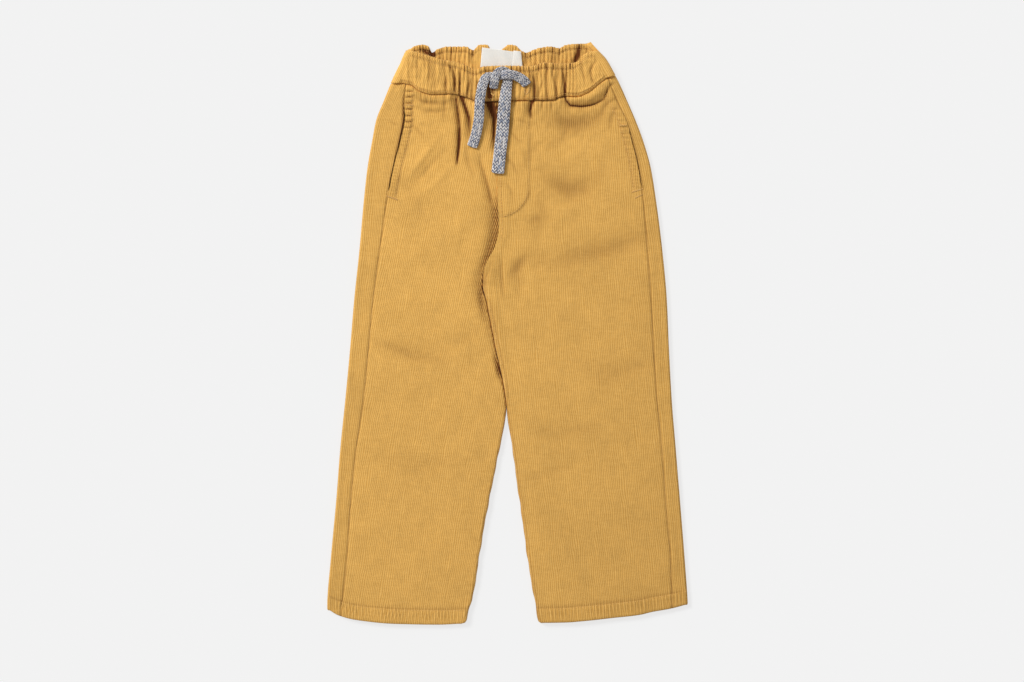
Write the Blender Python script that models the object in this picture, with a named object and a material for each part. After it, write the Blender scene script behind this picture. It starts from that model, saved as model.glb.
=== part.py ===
"""Child's pull-on corduroy trousers with a gathered drawcord waist, laid flat, front side up.

The hems point to -Y, the waist to +Y and the front faces +Z. The garment rests on z = 0 and the
origin is under the middle of its outline. Every size below is in millimetres; the solids are
built in metres. Each leg is a flat tube of two walls: the back panel lies underneath, turns up
round the outer edge and ends on top at the outseam, where the front panel starts.
"""
import math
from collections import namedtuple

import bmesh
import bpy
import numpy as np

MM = 0.001

# ---------------------------------------------------------------- driving sizes, millimetres
CLOTH = 1.6                 # corduroy wall
SEAM_GAP = 0.3              # clearance between neighbouring pieces
LEG_HEIGHT = 6.2            # middle of the top wall over the legs
EDGE_SOFTNESS = 16.0        # width over which the top wall sinks towards an edge
EDGE_SINK = 1.2             # how far it sinks there
HEM_DEPTH = 16.5            # turned hem
HEM_RAISE = 0.5             # extra height of the turned cloth
CROTCH_Y = 62.0             # where the front rise ends
HEM_LEVEL = -310.0          # height at which the side lines meet the hem
WAIST_LEVEL = 275.0         # height at which they meet the casing
BAND_WALL = 4.2             # elastic casing: two layers of cloth round an elastic
BAND_LIFT = 7.9             # underside of the front casing
SIDE_STEPS = 3
SIDE_GAP = 1.4              # clearance below the casing where it turns round the side
SIDE_TURN = 11.0            # width of that turn, seen from above
BAND_TAPER = 0.62           # share of the casing's thickness at its folded edges
FLY_RAISE = 0.9             # mock fly underlay
RISE_TO_BAND = 2.0          # how far the front panels climb towards the casing
RISE_LENGTH = 34.0          # distance over which they climb
TUCK = 3.0                  # width of the front panels that is sewn in under the casing
TUCK_LENGTH = 8.0           # distance over which the panels sink to it
TUCK_MARGIN = 1.7           # they are fully sunk this far short of the casing
THINNEST = 0.9              # wall of the casing at the bottom of a pleat
BAND_SHARES = (0.0, 0.1, 0.5, 0.92, 1.0)    # rows of the casing, from its seam to its edge
JOIN_HEIGHT = (BAND_LIFT + BAND_WALL) / 2   # where the two halves of the casing meet at the sides
SLOPE_AT_EDGE = 0.35        # share of a side strip after which it levels with the outer turn
LABEL_WALL = 0.5
CORD_WALL = 3.6

# Outline of each leg: x of the outer edge and of the outseam at a height y.
Side = namedtuple("Side", "y outer outseam")
RIGHT_SIDE = (              # wearer's right, at -X
    Side(-320, -198.5, -184.0), Side(-300, -198.6, -182.5), Side(-249, -194.8, -177.0),
    Side(-183, -188.7, -172.5), Side(-128, -184.4, -166.7), Side(-73, -178.8, -158.6),
    Side(-18, -173.6, -153.2), Side(37, -169.0, -148.0), Side(92, -163.2, -140.6),
    Side(150, -158.0, -132.1), Side(182, -154.4, -126.0), Side(212, -149.2, -118.3),
    Side(235, -144.7, -113.9), Side(257, -136.0, -113.6), Side(275, -128.6, -111.7),
    Side(290, -121.5, -110.5), Side(301, -116.0, -109.0), Side(313, -110.0, -107.0),
)
LEFT_SIDE = (               # wearer's left, at +X
    Side(-320, 199.6, 181.5), Side(-293, 198.4, 180.9), Side(-249, 195.3, 179.4),
    Side(-183, 190.0, 173.8), Side(-128, 185.5, 169.8), Side(-73, 181.0, 164.6),
    Side(-18, 178.0, 160.6), Side(37, 175.6, 157.9), Side(92, 170.6, 154.0),
    Side(150, 163.2, 149.0), Side(182, 158.0, 144.6), Side(212, 149.6, 137.4),
    Side(235, 141.0, 130.5), Side(257, 131.5, 120.0), Side(275, 123.4, 112.5),
    Side(290, 115.5, 107.0), Side(301, 109.0, 102.0), Side(313, 97.5, 94.0), Side(321, 90.5, 88.0),
)

# The middle line: centre front down to the crotch, then the inseams of both legs.
Middle = namedtuple("Middle", "y right left")
MIDDLE = (
    Middle(-320, -44.5, 31.0), Middle(-293, -38.0, 28.0), Middle(-249, -31.4, 21.5),
    Middle(-205, -24.0, 16.0), Middle(-161, -15.4, 9.6), Middle(-117, -6.6, 3.9),
    Middle(-95, -2.9, 0.8), Middle(-79, -1.6, -0.6), Middle(-62, -4.2, -3.4),
    Middle(-40, -8.4, -7.6), Middle(-18, -13.5, -12.7), Middle(4, -17.8, -17.0),
    Middle(37, -24.5, -23.7), Middle(50, -27.6, -26.8), Middle(66, -26.6, -26.0),
    Middle(79, -21.8, -21.5), Middle(92, -14.6, -14.3), Middle(114, -9.7, -9.4),
    Middle(169, -11.3, -11.0), Middle(213, -6.3, -6.0), Middle(257, -3.1, -2.8),
    Middle(280, -3.1, -2.8),
)

# Edges that run across the garment: y at a place x.
Across = namedtuple("Across", "x y")
HEM_RIGHT = (
    Across(-199, -304.5), Across(-188, -309.7), Across(-166, -315.2), Across(-118, -319.6),
    Across(-70, -320.4), Across(-52, -319.6), Across(-44, -312.0),
)
HEM_LEFT = (
    Across(28, -314.5), Across(36, -318.5), Across(60, -318.0), Across(82, -316.3),
    Across(114, -313.0), Across(144, -309.7), Across(159, -306.4), Across(179, -303.0),
    Across(199, -298.7),
)
FRONT_SEAM = (              # lower edge of the front casing
    Across(-130, 274.6), Across(-119, 275.0), Across(-107, 273.4), Across(-96, 266.2),
    Across(-83, 262.8), Across(-62, 263.5), Across(-50, 261.0), Across(-30, 254.9),
    Across(6, 256.0), Across(50, 256.9), Across(62, 261.0), Across(76, 260.2),
    Across(88, 264.5), Across(102, 275.4), Across(110, 281.2), Across(121, 283.6),
)
BACK_SEAM = (               # lower edge of the back casing
    Across(-130, 274.6), Across(121, 283.6),
)
FRONT_TOP = (               # upper edge of the front casing
    Across(-116, 306.0), Across(-108, 311.0), Across(-96, 308.1), Across(-86, 305.3),
    Across(-73, 301.4), Across(-60, 299.0), Across(-49, 296.0), Across(-35, 290.5),
    Across(-24, 293.8), Across(2, 294.3), Across(25, 293.8), Across(41, 297.6),
    Across(59, 296.5), Across(72, 297.2), Across(78, 300.0), Across(83, 306.0),
    Across(91, 310.2), Across(102, 311.0),
)
BACK_TOP = (                # scalloped upper edge of the back casing
    Across(-112, 309.0), Across(-102, 317.0), Across(-93, 318.5), Across(-87, 316.5),
    Across(-83, 309.7), Across(-78, 313.0), Across(-66, 316.3), Across(-46, 316.3),
    Across(-38, 312.5), Across(-31, 318.3), Across(-23, 318.5), Across(-17, 312.5),
    Across(-9, 311.0), Across(-4, 315.0), Across(2, 318.5), Across(9, 317.5),
    Across(15, 312.0), Across(21, 309.7), Across(28, 312.5), Across(36, 315.0),
    Across(48, 316.4), Across(57, 314.6), Across(64, 318.0), Across(76, 319.4),
    Across(86, 319.6), Across(100, 318.6),
)

# Soft troughs (negative depth) and ridges (positive) of the front: the line that each follows,
# its half width, its depth, and the share of the depth left at the first and last point.
Fold = namedtuple("Fold", "line width depth first last")
FOLDS = (
    Fold(((-59, 262), (-54, 240), (-52.8, 226), (-53.4, 212), (-55.8, 186)), 3.6, -2.7, 1, 0),
    Fold(((-51, 262), (-47, 248), (-44, 238), (-44.6, 214)), 3.4, -1.8, 1, 0),
    Fold(((-24, 262), (-19, 246), (-14.6, 236), (-13.6, 226), (-15.4, 196)), 4.4, -3.0, 1, 0),
    Fold(((-34, 262), (-32, 240), (-31, 215)), 5.0, 2.2, 1, 0),
    Fold(((-32, 200), (-27, 180), (-24, 168), (-18, 146)), 4.2, -1.7, 0, 0.6),
    Fold(((-18, 150), (-15.5, 104), (-22, 84), (-31, 62), (-31, 34)), 7.0, -2.6, 0.4, 0.3),
    Fold(((-12, -10), (-16, 2), (-28, 40)), 6.0, -1.6, 0.2, 0.2),
    Fold(((-3, 225), (-6, 170), (-5, 112), (-17, 78), (-22, 50), (-11, 2), (2, -62)), 5.5, 1.5, 0, 0.3),
    Fold(((25, 262), (24, 246), (26.5, 234)), 3.0, -2.2, 1, 0),
    Fold(((16, 262), (15, 244), (13, 225)), 4.5, 1.2, 1, 0),
    Fold(((62, 258), (72, 257), (88, 258), (103, 267)), 4.0, 2.4, 0.5, 0.5),
    Fold(((60, 262), (67, 251), (82, 249), (99, 254), (110, 266)), 3.4, -1.8, 1, 0.6),
    Fold(((108, 186), (94, 170), (78, 160)), 13.0, -1.6, 0, 0),
    Fold(((24, 100), (32, 84), (44, 66)), 9.0, -1.3, 0, 0),
    Fold(((14, 84), (13, 60), (15, 36)), 6.0, -1.1, 0, 0),
    Fold(((-136, 156), (-110, 180), (-82, 204)), 9.0, 1.3, 0, 0),
    Fold(((-128, 120), (-96, 150), (-62, 166)), 12.0, 0.9, 0, 0),
    Fold(((-150, -14), (-110, -22), (-60, -12)), 9.0, -0.7, 0, 0),
    Fold(((60, -30), (105, -42), (150, -34)), 10.0, -0.7, 0, 0),
)

# Deep pleats of the gathered front casing, from its top edge to its seam.
Pleat = namedtuple("Pleat", "x_top x_seam width depth")
FRONT_PLEATS = (
    Pleat(-84, -80, 2.6, 0.8), Pleat(-63, -59, 2.4, 2.1), Pleat(-53, -52, 2.2, 2.1),
    Pleat(-35, -44, 2.4, 1.6), Pleat(26, 25, 2.4, 1.7), Pleat(38, 41, 2.2, 1.0),
    Pleat(47, 51, 2.2, 1.2), Pleat(59, 56, 2.0, 0.9), Pleat(62, 64, 2.6, 2.5),
    Pleat(71, 73, 2.2, 1.1), Pleat(88, 92, 3.0, 1.0),
)
BACK_PLEATS = (
    Pleat(-83, -86, 3.0, 1.5), Pleat(-39, -40, 2.4, 1.2), Pleat(-17, -15, 2.4, 1.0),
    Pleat(20, 20, 2.8, 1.4), Pleat(57, 56, 2.4, 1.1), Pleat(83, 79, 2.8, 1.5),
)
GATHER_PITCH = 4.6          # mean pitch of the fine gathers
GATHER_SWING = 1.1          # how unevenly they are spaced
FRONT_GATHER = 0.55         # half height of the fine gathers
BACK_GATHER = 0.5
GATHER_AT_SEAM = 0.45       # share of the gathers' height left at the casing's seam
FRONT_CASING = (-112.0, 100.0)
BACK_CASING = (-112.0, 98.0)
LABEL_SPAN = (-34.0, 18.0)  # the back casing lies flat behind the labels
LABEL_BOW = 0.5

# Pocket mouths: the outseam stands open between two heights.
Mouth = namedtuple("Mouth", "low high open")
RIGHT_MOUTH = Mouth(152.0, 246.0, 1.1)
LEFT_MOUTH = Mouth(160.0, 226.0, 0.9)

# Mock fly: straight stitch line, then a quarter turn to the centre front.
FLY_X = 24.5
FLY_TURN_Y = 163.0
FLY_END_Y = 128.0

# Drawcord: middle line of each end, with its width. The ends cross in a half knot.
Cord = namedtuple("Cord", "x y z width")
RIGHT_CORD = (
    Cord(-15.2, 267.0, 14.9, 9.0), Cord(-14.8, 271.5, 16.4, 8.4), Cord(-13.9, 276.6, 18.7, 7.4),
    Cord(-12.9, 282.4, 19.3, 6.6), Cord(-10.6, 288.2, 18.8, 5.8), Cord(-6.3, 291.2, 17.0, 5.4),
    Cord(-2.2, 290.4, 15.2, 5.6), Cord(0.7, 286.4, 14.8, 6.2), Cord(0.6, 280.0, 14.8, 7.4),
    Cord(-0.8, 271.0, 14.8, 11.0), Cord(-2.4, 258.0, 14.8, 13.0), Cord(-3.4, 248.0, 13.4, 13.5),
    Cord(-4.4, 236.0, 12.2, 13.5), Cord(-5.6, 222.0, 11.8, 13.5), Cord(-7.4, 206.0, 11.6, 13.5),
    Cord(-9.2, 190.0, 11.4, 13.5), Cord(-10.8, 175.6, 11.3, 13.5),
)
LEFT_CORD = (
    Cord(21.6, 270.6, 14.8, 10.0), Cord(19.2, 277.2, 14.9, 10.2), Cord(12.6, 282.6, 16.4, 9.8),
    Cord(4.8, 284.4, 19.0, 8.2), Cord(-0.6, 283.4, 19.5, 7.2), Cord(-5.4, 281.6, 18.2, 6.0),
    Cord(-9.6, 281.0, 15.3, 5.8), Cord(-13.4, 281.4, 14.7, 6.6), Cord(-18.8, 282.0, 14.7, 8.0),
    Cord(-24.0, 279.8, 14.7, 9.4), Cord(-27.2, 272.8, 14.8, 10.2), Cord(-29.2, 263.0, 14.9, 10.5),
    Cord(-30.6, 252.0, 14.2, 10.5), Cord(-31.2, 238.0, 13.2, 10.5), Cord(-33.0, 226.0, 12.4, 10.5),
    Cord(-36.0, 214.0, 11.9, 10.5), Cord(-39.2, 204.8, 11.6, 10.5),
)

# How finely each piece is divided.
FRONT_COLUMNS = 22
BACK_COLUMNS_ON_TOP = 4
BACK_COLUMNS_BELOW = 8
TURN_STEPS = 3
CORD_SIDES = 10
CORD_STEP = 4.0

# Heights above the hem where the leg panels have a row, as spans with a number of rows.
Span = namedtuple("Span", "start end rows")
ROW_SPANS = (
    Span(0.0, 15.0, 1), Span(15.0, 18.0, 1), Span(18.0, 340.0, 10), Span(340.0, 400.0, 4),
    Span(400.0, 510.0, 7), Span(510.0, 569.0, 6), Span(569.0, 575.7, 1), Span(575.7, 580.0, 1),
)

CLOTH_COLOUR = (0.66, 0.36, 0.10, 1.0)
BAND_COLOUR = (0.62, 0.33, 0.09, 1.0)
CORD_COLOUR = (0.36, 0.39, 0.47, 1.0)
LABEL_COLOUR = (0.86, 0.84, 0.78, 1.0)


# ---------------------------------------------------------------- curves through the tables
def smooth_curve(places, values):
    """A curve through the points that doesn't overshoot them, flat at each peak."""
    places = np.array(places, dtype=float)
    values = np.array(values, dtype=float)
    steps = np.diff(places)
    slopes = np.diff(values) / steps
    tangents = np.zeros(len(values))
    tangents[0] = slopes[0]
    tangents[-1] = slopes[-1]
    for i in range(1, len(slopes)):
        if slopes[i - 1] * slopes[i] > 0.0:
            before = 2.0 * steps[i] + steps[i - 1]
            after = steps[i] + 2.0 * steps[i - 1]
            tangents[i] = (before + after) / (before / slopes[i - 1] + after / slopes[i])

    def value(place):
        place = np.clip(place, places[0], places[-1])
        i = np.clip(np.searchsorted(places, place) - 1, 0, len(steps) - 1)
        t = (place - places[i]) / steps[i]
        return ((1 + 2 * t) * (1 - t) ** 2 * values[i] + t * (1 - t) ** 2 * steps[i] * tangents[i]
                + t * t * (3 - 2 * t) * values[i + 1] + t * t * (t - 1) * steps[i] * tangents[i + 1])

    return value


def column_curve(table, place, column):
    return smooth_curve([getattr(row, place) for row in table], [getattr(row, column) for row in table])


def ease(value, low, high):
    """0 below low, 1 above high and a soft step between them."""
    t = np.clip((value - low) / (high - low), 0.0, 1.0)
    return t * t * (3.0 - 2.0 * t)


front_seam = column_curve(FRONT_SEAM, "x", "y")
back_seam = column_curve(BACK_SEAM, "x", "y")
front_top = column_curve(FRONT_TOP, "x", "y")
back_top = column_curve(BACK_TOP, "x", "y")


class Leg:
    """The outline curves of one side, and where they meet the hem and the casing."""

    def __init__(self, side, hem, mouth, column, sign):
        self.outer = column_curve(side, "y", "outer")
        self.outseam = column_curve(side, "y", "outseam")
        self.inner = column_curve(MIDDLE, "y", column)
        self.hem = column_curve(hem, "x", "y")
        self.mouth = mouth
        self.sign = sign        # +1 where the outer edge is at +X
        self.hem_x = {line: float(getattr(self, line)(HEM_LEVEL)) for line in ("outer", "outseam", "inner")}
        self.top_x = {}
        for line in ("outer", "outseam", "inner"):
            curve = getattr(self, line)
            self.top_x[line] = float(curve(front_seam(curve(WAIST_LEVEL))))

    def end_height(self, line, top_edge, share):
        """Height y of a row at the outer edge, the outseam or the inner edge."""
        low = self.hem(self.hem_x[line])
        return low + share * (top_edge(self.top_x[line]) - low)

    def row_heights(self, first, last, top_edge, share, parts):
        """Heights y along a row that runs from one of those lines to another."""
        low = self.hem(self.hem_x[first] + (self.hem_x[last] - self.hem_x[first]) * parts)
        high = top_edge(self.top_x[first] + (self.top_x[last] - self.top_x[first]) * parts)
        return low + share * (high - low)


RIGHT = Leg(RIGHT_SIDE, HEM_RIGHT, RIGHT_MOUTH, "right", -1.0)
LEFT = Leg(LEFT_SIDE, HEM_LEFT, LEFT_MOUTH, "left", 1.0)


# ---------------------------------------------------------------- height of the front
def fold_height(fold, x, y):
    """Height that one fold adds: a soft bell across its line, fading at the ends."""
    line = np.array(fold.line, dtype=float)
    lengths = np.hypot(*np.diff(line, axis=0).T)
    total = lengths.sum()
    nearest = np.full(np.shape(x), 1e9)
    along = np.zeros(np.shape(x))
    start = 0.0
    for (x0, y0), (x1, y1), length in zip(line[:-1], line[1:], lengths):
        t = np.clip(((x - x0) * (x1 - x0) + (y - y0) * (y1 - y0)) / length ** 2, 0.0, 1.0)
        distance = np.hypot(x - x0 - t * (x1 - x0), y - y0 - t * (y1 - y0))
        closer = distance < nearest
        nearest = np.where(closer, distance, nearest)
        along = np.where(closer, (start + t * length) / total, along)
        start += length
    strength = fold.first * (1 - along) + fold.last * along
    strength = strength + 4 * along * (1 - along) * (1 - (fold.first + fold.last) / 2)
    return fold.depth * strength * np.exp(-(nearest / fold.width) ** 2)


def fly_height(x, y):
    """The doubled cloth of the mock fly, inside its J-shaped stitch line."""
    turn = np.clip((FLY_TURN_Y - y) / (FLY_TURN_Y - FLY_END_Y), 0.0, 1.0)
    edge = LEFT.inner(y) + (FLY_X - LEFT.inner(y)) * np.sqrt(1.0 - turn ** 2)
    inside = 1.0 - ease(x, edge - 2.0, edge + 1.0)
    below_end = ease(y, FLY_END_Y - 1.0, FLY_END_Y + 2.0)
    return FLY_RAISE * inside * below_end * (x > LEFT.inner(y) - 0.5)


def front_height(leg, x, y):
    """Middle of the top wall of a leg."""
    from_outer = np.abs(leg.outer(y) - x)
    from_inner = np.abs(leg.inner(y) - x) + 200.0 * ease(y, CROTCH_Y - 10.0, CROTCH_Y + 20.0)
    sink = np.exp(-(from_outer / EDGE_SOFTNESS) ** 2) + 0.5 * np.exp(-(from_inner / EDGE_SOFTNESS) ** 2)
    height = LEG_HEIGHT - EDGE_SINK * sink
    height = height + RISE_TO_BAND * ease(y, front_seam(x) - RISE_LENGTH, front_seam(x))
    for fold in FOLDS:
        height = height + fold_height(fold, x, y)
    if leg is LEFT:
        height = height + fly_height(x, y)
    tucked = BAND_LIFT - SEAM_GAP - CLOTH / 2
    under_band = ease(y, front_seam(x) - TUCK_LENGTH, front_seam(x) - TUCK_MARGIN)
    return height - np.maximum(height - tucked, 0.0) * under_band


def panel_top(leg, x):
    """Upper edge of the top wall: tucked under the casing, but short of the casing's side turn."""
    from_outer = np.abs(leg.outer(front_seam(x)) - x)
    return front_seam(x) - SIDE_GAP + (TUCK + SIDE_GAP) * ease(from_outer, SIDE_TURN, SIDE_TURN + 4.0)


def mouth_opening(leg, y):
    """How far the outseam stands open at a pocket mouth."""
    mouth = leg.mouth
    return mouth.open * ease(y, mouth.low, mouth.low + 8.0) * (1.0 - ease(y, mouth.high - 8.0, mouth.high))


# ---------------------------------------------------------------- walls from grids of points
def wall_normals(centre, first_faces_up):
    """Unit normals of a grid of points, turned so that its first column's face up or down."""
    across = np.gradient(centre, axis=0)
    along = np.gradient(centre, axis=1)
    normals = np.cross(across, along)
    normals /= np.linalg.norm(normals, axis=2, keepdims=True)
    middle = normals[0, centre.shape[1] // 2, 2]
    if (middle > 0) != first_faces_up:
        normals = -normals
    return normals


def add_object(name, points, faces, material):
    mesh = bpy.data.meshes.new(name)
    mesh.from_pydata([tuple(point) for point in np.asarray(points) * MM], [], faces)
    shape = bmesh.new()
    shape.from_mesh(mesh)
    bmesh.ops.recalc_face_normals(shape, faces=shape.faces)
    bmesh.ops.triangulate(shape, faces=shape.faces)
    shape.to_mesh(mesh)
    shape.free()
    mesh.shade_smooth()
    mesh.set_sharp_from_angle(angle=math.radians(50))
    mesh.materials.append(material)
    obj = bpy.data.objects.new(name, mesh)
    bpy.context.scene.collection.objects.link(obj)
    return obj


def add_wall(name, outside, inside, material):
    """One closed wall between two grids of points of the same size."""
    columns, rows = outside.shape[:2]
    points = np.concatenate([outside.reshape(-1, 3), inside.reshape(-1, 3)])

    def index(layer, column, row):
        return layer * columns * rows + column * rows + row

    faces = []
    for column in range(columns - 1):
        for row in range(rows - 1):
            corners = [(column, row), (column + 1, row), (column + 1, row + 1), (column, row + 1)]
            faces.append([index(0, *corner) for corner in corners])
            faces.append([index(1, *corner) for corner in reversed(corners)])
    rim = [(column, 0) for column in range(columns)]
    rim += [(columns - 1, row) for row in range(1, rows)]
    rim += [(column, rows - 1) for column in range(columns - 2, -1, -1)]
    rim += [(0, row) for row in range(rows - 2, 0, -1)]
    for here, following in zip(rim, rim[1:] + rim[:1]):
        faces.append([index(0, *following), index(0, *here), index(1, *here), index(1, *following)])
    return add_object(name, points, faces, material)


def heights_from_hem(spans):
    """Heights above the hem, as shares of the length up to the waist seam."""
    total = spans[-1].end
    heights = [0.0]
    for span in spans:
        heights += list(np.linspace(span.start, span.end, span.rows + 1)[1:])
    return np.array(heights) / total


# ---------------------------------------------------------------- leg panels
def front_grid(leg, columns, shares, turn_steps):
    """Middle surface of a front panel: flat part first, then the turn down to the inseam."""
    grid = np.zeros((columns + turn_steps, len(shares), 3))
    parts = np.linspace(0.0, 1.0, columns)
    seat = CLOTH + SEAM_GAP         # the turned edge ends just above the back panel
    for row, share in enumerate(shares):
        y_outseam = leg.end_height("outseam", front_seam, share)
        y_inner = leg.end_height("inner", front_seam, share)
        start = leg.outseam(y_outseam) - leg.sign * (SEAM_GAP / 2 + mouth_opening(leg, y_outseam))
        end = leg.inner(y_inner)
        down = 1.0 - ease(y_inner, CROTCH_Y - 6.0, CROTCH_Y + 8.0)
        angle = max(down * math.pi / 2, 0.02)
        drop = front_height(leg, np.array(end + leg.sign * 5.0), np.array(y_inner)) - seat
        arc = drop * math.pi / 2
        flat_end = end + leg.sign * (arc * math.sin(angle) / angle + CLOTH / 2 * down)
        x = start + (flat_end - start) * parts
        y = leg.row_heights("outseam", "inner", lambda place: panel_top(leg, place), share, parts)
        grid[:columns, row] = np.stack([x, y, front_height(leg, x, y)], axis=1)
        last = grid[columns - 1, row].copy()
        for step in range(1, turn_steps + 1):
            part = angle * step / turn_steps
            reach = arc * math.sin(part) / angle
            fall = arc * (1.0 - math.cos(part)) / angle
            height = last[2] - fall * (last[2] - seat) / drop
            grid[columns - 1 + step, row] = (last[0] - leg.sign * reach, last[1], height)
    return grid


def raised_hem(grid, normals):
    """Extra thickness of the turned cloth along the hem, on faces that look up."""
    above_hem = grid[:, :, 1] - grid[:, :1, 1]
    raised = 1.0 - ease(above_hem, HEM_DEPTH - 1.5, HEM_DEPTH + 1.0)
    return HEM_RAISE * raised * np.clip(normals[:, :, 2], 0.0, 1.0)


def add_panel(name, grid, normals, material):
    outside = grid + normals * (CLOTH / 2 + raised_hem(grid, normals))[..., None]
    inside = grid - normals * (CLOTH / 2)
    return add_wall(name, outside, inside, material)


def front_panel(name, leg, material):
    grid = front_grid(leg, FRONT_COLUMNS, heights_from_hem(ROW_SPANS), TURN_STEPS)
    return add_panel(name, grid, wall_normals(grid, first_faces_up=True), material)


def back_grid(leg, on_top, below, shares, turn_steps):
    """Middle surface of a back panel: outseam, outer edge, then flat under the leg."""
    grid = np.zeros((on_top + turn_steps + below, len(shares), 3))
    strip_parts = np.linspace(0.0, 1.0, on_top)
    under_parts = np.linspace(0.0, 1.0, below)
    for row, share in enumerate(shares):
        y_outer = leg.end_height("outer", front_seam, share)
        start = leg.outseam(leg.end_height("outseam", front_seam, share)) + leg.sign * SEAM_GAP / 2
        outer = leg.outer(y_outer) - leg.sign * CLOTH / 2
        inner = leg.inner(leg.end_height("inner", back_seam, share))
        edge_height = float(front_height(leg, np.array(outer), np.array(y_outer)))
        radius = (edge_height - CLOTH / 2) / 2
        turn_x = outer - leg.sign * radius
        x = start + (turn_x - start) * strip_parts
        y = leg.row_heights("outseam", "outer", lambda place: panel_top(leg, place), share, strip_parts)
        z = front_height(leg, x, y)
        z = z + (edge_height - z) * ease(strip_parts, SLOPE_AT_EDGE, 1.0)
        grid[:on_top, row] = np.stack([x, y, z], axis=1)
        for step in range(1, turn_steps + 1):
            turn = math.pi * step / (turn_steps + 1)
            place = (turn_x + leg.sign * radius * math.sin(turn), y[-1],
                     CLOTH / 2 + radius * (1.0 + math.cos(turn)))
            grid[on_top - 1 + step, row] = place
        x = turn_x + (inner - turn_x) * under_parts
        y = leg.row_heights("outer", "inner", lambda place: back_seam(place) - SIDE_GAP, share, under_parts)
        grid[on_top + turn_steps:, row] = np.stack([x, y, np.full(below, CLOTH / 2)], axis=1)
    return grid


def back_panel(name, leg, material):
    grid = back_grid(leg, BACK_COLUMNS_ON_TOP, BACK_COLUMNS_BELOW, heights_from_hem(ROW_SPANS), TURN_STEPS)
    normals = wall_normals(grid, first_faces_up=True)
    normals[BACK_COLUMNS_ON_TOP + TURN_STEPS:] = (0.0, 0.0, -1.0)
    return add_panel(name, grid, normals, material)


# ---------------------------------------------------------------- gathered casing
def gather_edges(low, high):
    """Places of the crests and hollows of the fine gathers, unevenly spaced."""
    places = [low]
    count = 0
    while places[-1] < high:
        pitch = GATHER_PITCH + GATHER_SWING * math.sin(1.7 * count) + 0.5 * GATHER_SWING * math.sin(0.6 * count)
        places.append(places[-1] + pitch / 2)
        count += 1
    return np.array(places[:-1])


def pleat_depth(pleats, x, share):
    depth = np.zeros(np.shape(x))
    for pleat in pleats:
        line = pleat.x_seam + (pleat.x_top - pleat.x_seam) * share
        depth = depth + pleat.depth * np.exp(-((x - line) / pleat.width) ** 2)
    return depth


def side_end(outline, low_edge, high_edge, share, start):
    """Where a row of the casing meets the outline at the side."""
    x = start
    for _ in range(12):
        y = low_edge(x) + share * (high_edge(x) - low_edge(x))
        x = 0.5 * (x + float(outline(y)))
    return x


def band_grid(places, low_edge, high_edge, shares, base, height, turn_steps):
    """Middle surface of half a casing: side turn, flat part, side turn."""
    columns = len(places) + 2 * turn_steps
    grid = np.zeros((columns, len(shares), 3))
    radius = abs(height - base)
    angles = math.pi / 2 * np.arange(1, turn_steps + 1) / turn_steps
    reach = radius * np.sin(angles)
    fall = (height - base) * (1.0 - np.cos(angles))
    parts = (places - places[0]) / (places[-1] - places[0])
    for row, share in enumerate(shares):
        left = side_end(RIGHT.outer, low_edge, high_edge, share, -120.0) + BAND_WALL / 2 + radius
        right = side_end(LEFT.outer, low_edge, high_edge, share, 110.0) - BAND_WALL / 2 - radius
        x = np.concatenate([left - reach[::-1], left + parts * (right - left), right + reach])
        z = np.concatenate([height - fall[::-1], np.full(len(places), height), height - fall])
        y = low_edge(x) + share * (high_edge(x) - low_edge(x))
        grid[:, row] = np.stack([x, y, z], axis=1)
    return grid


def band_taper(shares):
    edge = np.minimum(shares, 1.0 - shares)
    return BAND_TAPER + (1.0 - BAND_TAPER) * ease(edge, 0.0, 0.08)


def waistband_front(material):
    places = gather_edges(*FRONT_CASING)
    grid = band_grid(places, lambda x: front_seam(x) + SEAM_GAP, front_top, BAND_SHARES,
                     JOIN_HEIGHT + SEAM_GAP / 2, BAND_LIFT + BAND_WALL / 2, SIDE_STEPS)
    return finish_band("waistband_front", grid, places, FRONT_PLEATS, FRONT_GATHER, True, material)


def waistband_back(material):
    places = gather_edges(*BACK_CASING)
    grid = band_grid(places, lambda x: back_seam(x) + SEAM_GAP, back_top, BAND_SHARES,
                     JOIN_HEIGHT - SEAM_GAP / 2, BAND_WALL / 2, SIDE_STEPS)
    return finish_band("waistband_back", grid, places, BACK_PLEATS, BACK_GATHER, False, material)


def finish_band(name, grid, places, pleats, gather, on_top, material):
    """Raises the gathers and pleats on the upper face; the lower one stays plain."""
    columns = grid.shape[0]
    normals = wall_normals(grid, first_faces_up=True)
    if normals[columns // 2, 0, 2] < 0:
        normals = -normals
    for end in (0, -1):
        normals[end, :, 2] = 0.0
        normals[end] /= np.linalg.norm(normals[end], axis=1, keepdims=True)
    order = np.arange(columns)
    inner = (order >= SIDE_STEPS) & (order < SIDE_STEPS + len(places))
    crest = np.where(order % 2 == 0, 1.0, -1.0) * gather * inner
    if not on_top:
        behind_label = ease(places, LABEL_SPAN[0] - 6.0, LABEL_SPAN[0])
        behind_label = behind_label - ease(places, LABEL_SPAN[1], LABEL_SPAN[1] + 6.0)
        crest[inner] *= 1.0 - behind_label
    relief = crest[:, None] * (GATHER_AT_SEAM + (1.0 - GATHER_AT_SEAM) * np.array(BAND_SHARES)[None, :])
    for row, share in enumerate(BAND_SHARES):
        relief[inner, row] -= pleat_depth(pleats, grid[inner, row, 0], share)
    wall = np.maximum(BAND_WALL * band_taper(np.array(BAND_SHARES))[None, :] + relief, THINNEST)
    lower = grid - normals * (BAND_WALL / 2)
    upper = lower + normals * wall[..., None]
    return add_wall(name, upper, lower, material)


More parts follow.
